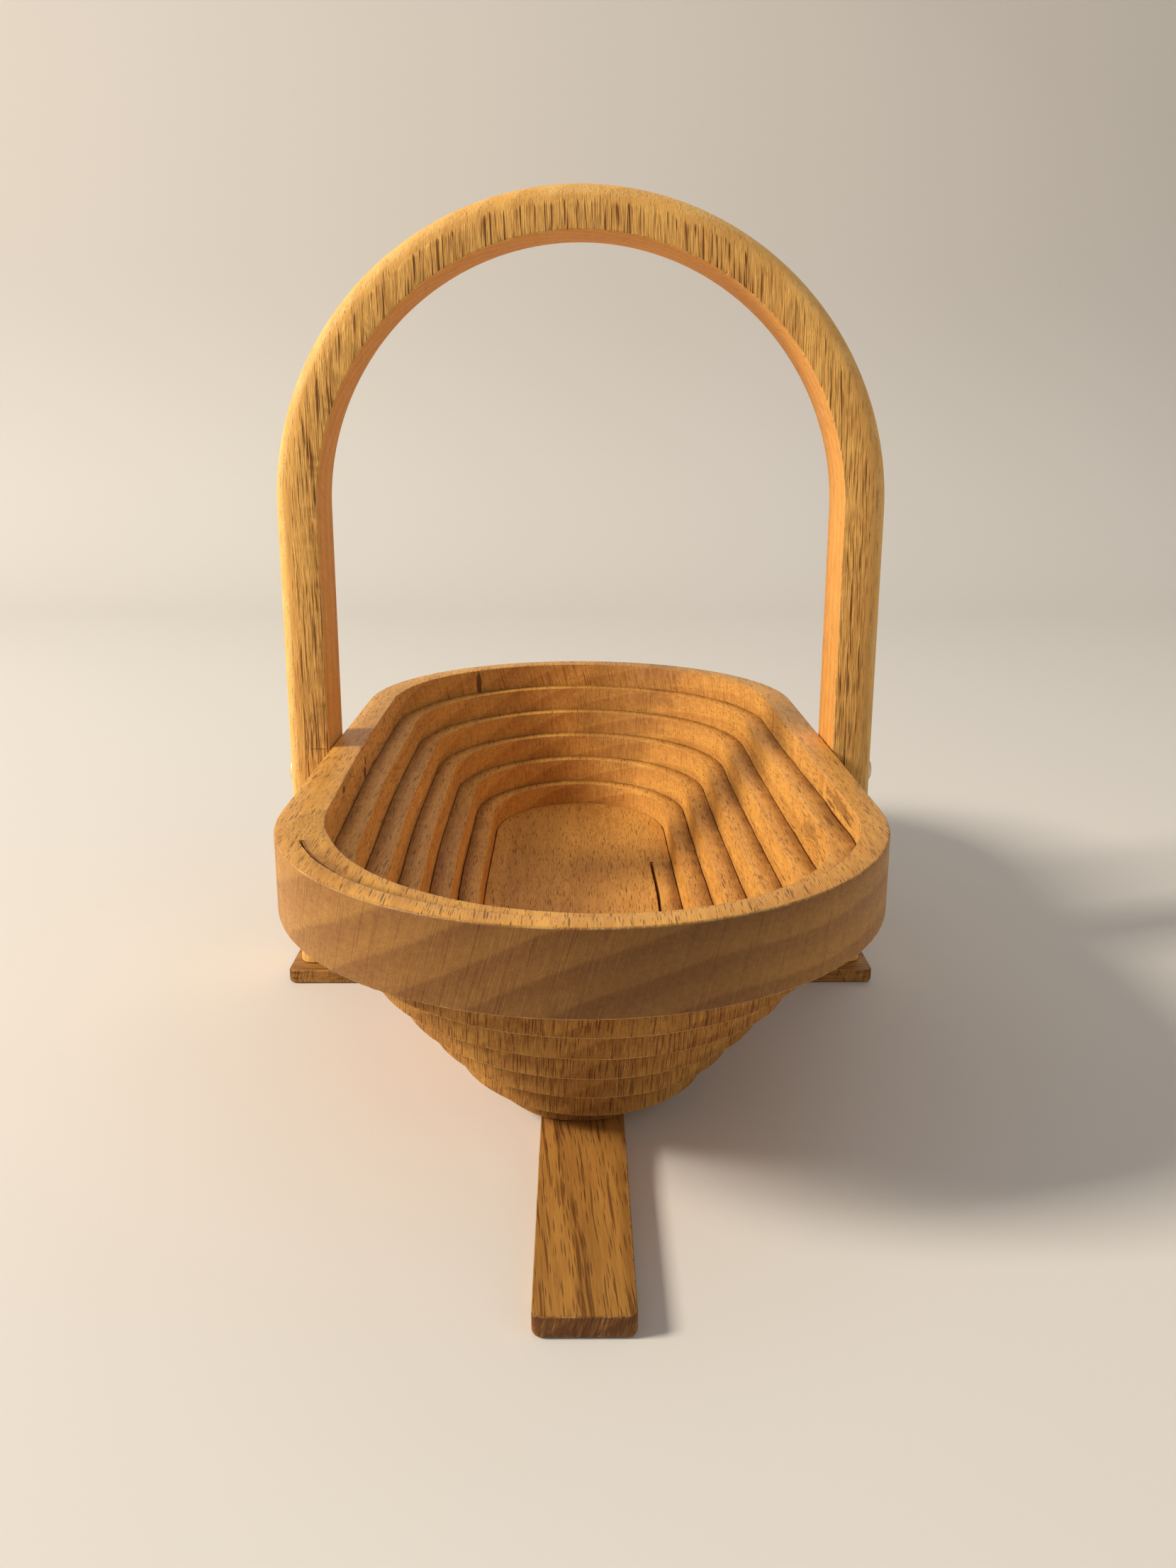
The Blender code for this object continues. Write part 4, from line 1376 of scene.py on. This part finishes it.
class BASKET_OT_fasteners(bpy.types.Operator):
    """Make the pivot screws, the dowels in the legs and the screw under the stand"""

    bl_idname = "basket.fasteners"
    bl_label = "Fasteners"

    def execute(self, context):
        for side, sign in (("left", -1.0), ("right", 1.0)):
            self.pivot_screw(side, sign)
            self.dowel(side)
        self.foot_screw()
        return {"FINISHED"}

    def pivot_screw(self, side, sign):
        """A slotted round-headed screw through one leg."""
        sizes = settings().fasteners
        low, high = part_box(f"pivot_screw_{side}")
        near, far = sorted((abs(low.x), abs(high.x)))
        shank = sizes.shank_radius
        radius = (high.z - low.z) / 2
        seat = HANDLE_HIGH.x + SCREW_SEAT_GAP
        profile = [(shank * SCREW_POINT_SHARE, near), (shank, near + SCREW_POINT_LENGTH),
                   (shank, seat), (radius, seat)]
        for index in range(ROUND_STEPS + 1):
            turn = QUARTER_TURN * index / ROUND_STEPS
            rise = SCREW_HEAD_EDGE_SHARE + (1.0 - SCREW_HEAD_EDGE_SHARE) * math.sin(turn)
            profile.append((radius * max(math.cos(turn), 0.02) ** SCREW_HEAD_FULLNESS,
                            seat + (far - seat) * rise))
        level = (low.z + high.z) / 2
        brass = bpy.data.materials["screw_brass"]
        screw = lathe(f"pivot_screw_{side}_turned", profile, (0.0, 0.0, level), RIGHT * sign, brass)
        inner, outer = sorted((sign * (far - sizes.slot_depth), sign * (far + OVERCUT)))
        carve(screw, [block("slot", (inner, -sizes.slot_width / 2, level - radius * SLOT_REACH),
                            (outer, sizes.slot_width / 2, level + radius * SLOT_REACH), brass)])
        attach(screw, "rim_body")
        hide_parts(f"pivot_screw_{side}")

    def dowel(self, side):
        """A chamfered dowel that drops into the crossbar."""
        low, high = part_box(f"leg_dowel_{side}")
        radius = (high.x - low.x) / 2
        chamfer = settings().fasteners.chamfer
        dowel = lathe(f"leg_dowel_{side}_turned", [
            (radius - chamfer, low.z), (radius, low.z + chamfer), (radius, high.z - chamfer),
            (radius - chamfer, high.z),
        ], ((low.x + high.x) / 2, 0.0, 0.0), UP, bpy.data.materials["dowel_beech"])
        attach(dowel, "handle_frame")
        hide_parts(f"leg_dowel_{side}")

    def foot_screw(self):
        """The countersunk screw that holds the two laths together."""
        sizes = settings().fasteners
        low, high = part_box("foot_screw")
        shank = sizes.foot_shank_radius
        brass = bpy.data.materials["screw_brass"]
        screw = lathe("foot_screw_turned", [
            (high.x, low.z), (shank, low.z + sizes.foot_head_height), (shank, high.z - shank / 2),
            (shank * 0.35, high.z),
        ], (0.0, 0.0, 0.0), UP, brass)
        reach = high.x * SLOT_REACH
        carve(screw, [block("slot", (-reach, -sizes.slot_width / 3, -OVERCUT),
                            (reach, sizes.slot_width / 3, low.z + sizes.slot_depth / 2), brass)])
        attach(screw, "stand")
        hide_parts("foot_screw")


class BASKET_OT_stage(bpy.types.Operator):
    """Make the floor, the lamps and the camera"""

    bl_idname = "basket.stage"
    bl_label = "Stage"

    def execute(self, context):
        stage = settings().stage
        self.floor(stage)
        self.lamps()
        self.camera(context, stage)
        context.scene.view_settings.view_transform = "Standard"
        return {"FINISHED"}

    def floor(self, stage):
        """A pale table top that curves up into a pale wall."""
        size = stage.floor_size
        profile = [(-size, 0.0)]
        for index in range(TABLE_CURVE_STEPS + 1):
            turn = QUARTER_TURN * index / TABLE_CURVE_STEPS
            profile.append((TABLE_DEPTH + TABLE_CURVE * math.sin(turn),
                            TABLE_CURVE * (1.0 - math.cos(turn))))
        profile.append((TABLE_DEPTH + TABLE_CURVE, WALL_HEIGHT))
        work = bmesh.new()
        rows = [[work.verts.new((x, y, z)) for x in (-size, size)] for y, z in profile]
        for before, after in zip(rows, rows[1:]):
            work.faces.new((before[0], before[1], after[1], after[0]))
        material, tree, shader = new_material("stage_pale")
        height = result_of(tree, "ShaderNodeTexCoord", {}, "Object").parts()[2]
        colour = mix_colours(height.ramp(0.0, 0.4), stage.floor_colour, stage.wall_colour)
        tree.links.new(colour.socket, shader.inputs["Base Color"])
        shader.inputs["Roughness"].default_value = 0.8
        floor = finished("stage_floor", work, material)
        floor.data.shade_smooth()

    def lamps(self):
        """A broad key lamp from the upper left, a weak fill, and a pale sky."""
        for name, (place, size, power, colour) in LAMPS.items():
            light = bpy.data.lights.new(name, "AREA")
            light.color = colour
            light.size = size
            light.energy = power
            lamp = link_piece(name, light)
            lamp.location = place
            lamp.rotation_euler = (LAMP_TARGET - Vector(place)).to_track_quat("-Z", "Y").to_euler()
        world = bpy.data.worlds.new("studio")
        world.use_nodes = True
        background = world.node_tree.nodes["Background"]
        background.inputs["Color"].default_value = SKY_COLOUR
        background.inputs["Strength"].default_value = SKY_STRENGTH
        bpy.context.scene.world = world

    def camera(self, context, stage):
        """The camera stands where the photograph was taken from."""
        lens = bpy.data.cameras.new("camera")
        lens.lens = stage.focal_length
        lens.sensor_width = 36.0
        lens.sensor_height = 36.0
        lens.sensor_fit = "AUTO"
        lens.clip_start = 0.01
        camera = link_piece("camera", lens)
        camera.location = stage.camera_place
        camera.rotation_euler = Euler((QUARTER_TURN - stage.camera_pitch, stage.camera_roll,
                                       -stage.camera_yaw))
        context.scene.camera = camera


class BASKET_PT_sidebar(bpy.types.Panel):
    """Buttons for each group of pieces, and the sizes of the board"""

    bl_label = "Spiral Basket"
    bl_space_type = "VIEW_3D"
    bl_region_type = "UI"
    bl_category = "Basket"

    def draw(self, context):
        column = self.layout.column(align=True)
        for operator in OPERATORS:
            column.operator(operator.bl_idname)
        board = context.scene.spiral_basket.board
        for size in ("pitch", "bevel", "turns", "hairline"):
            self.layout.prop(board, size)


GROUPS = (BoardSizes, HandleSizes, StandSizes, FastenerSizes, WoodColours, StageSettings,
          BasketSettings)
OPERATORS = (BASKET_OT_rim, BASKET_OT_turns, BASKET_OT_floor, BASKET_OT_handle, BASKET_OT_stand,
             BASKET_OT_fasteners, BASKET_OT_stage)


def register():
    for group in (*GROUPS, *OPERATORS, BASKET_PT_sidebar):
        bpy.utils.register_class(group)
    bpy.types.Scene.spiral_basket = PointerProperty(type=BasketSettings)


def unregister():
    del bpy.types.Scene.spiral_basket
    for group in reversed((*GROUPS, *OPERATORS, BASKET_PT_sidebar)):
        bpy.utils.unregister_class(group)


def main():
    """Make every piece in order."""
    register()
    bpy.ops.basket.rim()
    bpy.ops.basket.turns()
    bpy.ops.basket.floor()
    bpy.ops.basket.handle()
    bpy.ops.basket.stand()
    bpy.ops.basket.fasteners()
    bpy.ops.basket.stage()


if __name__ == "__main__":
    main()
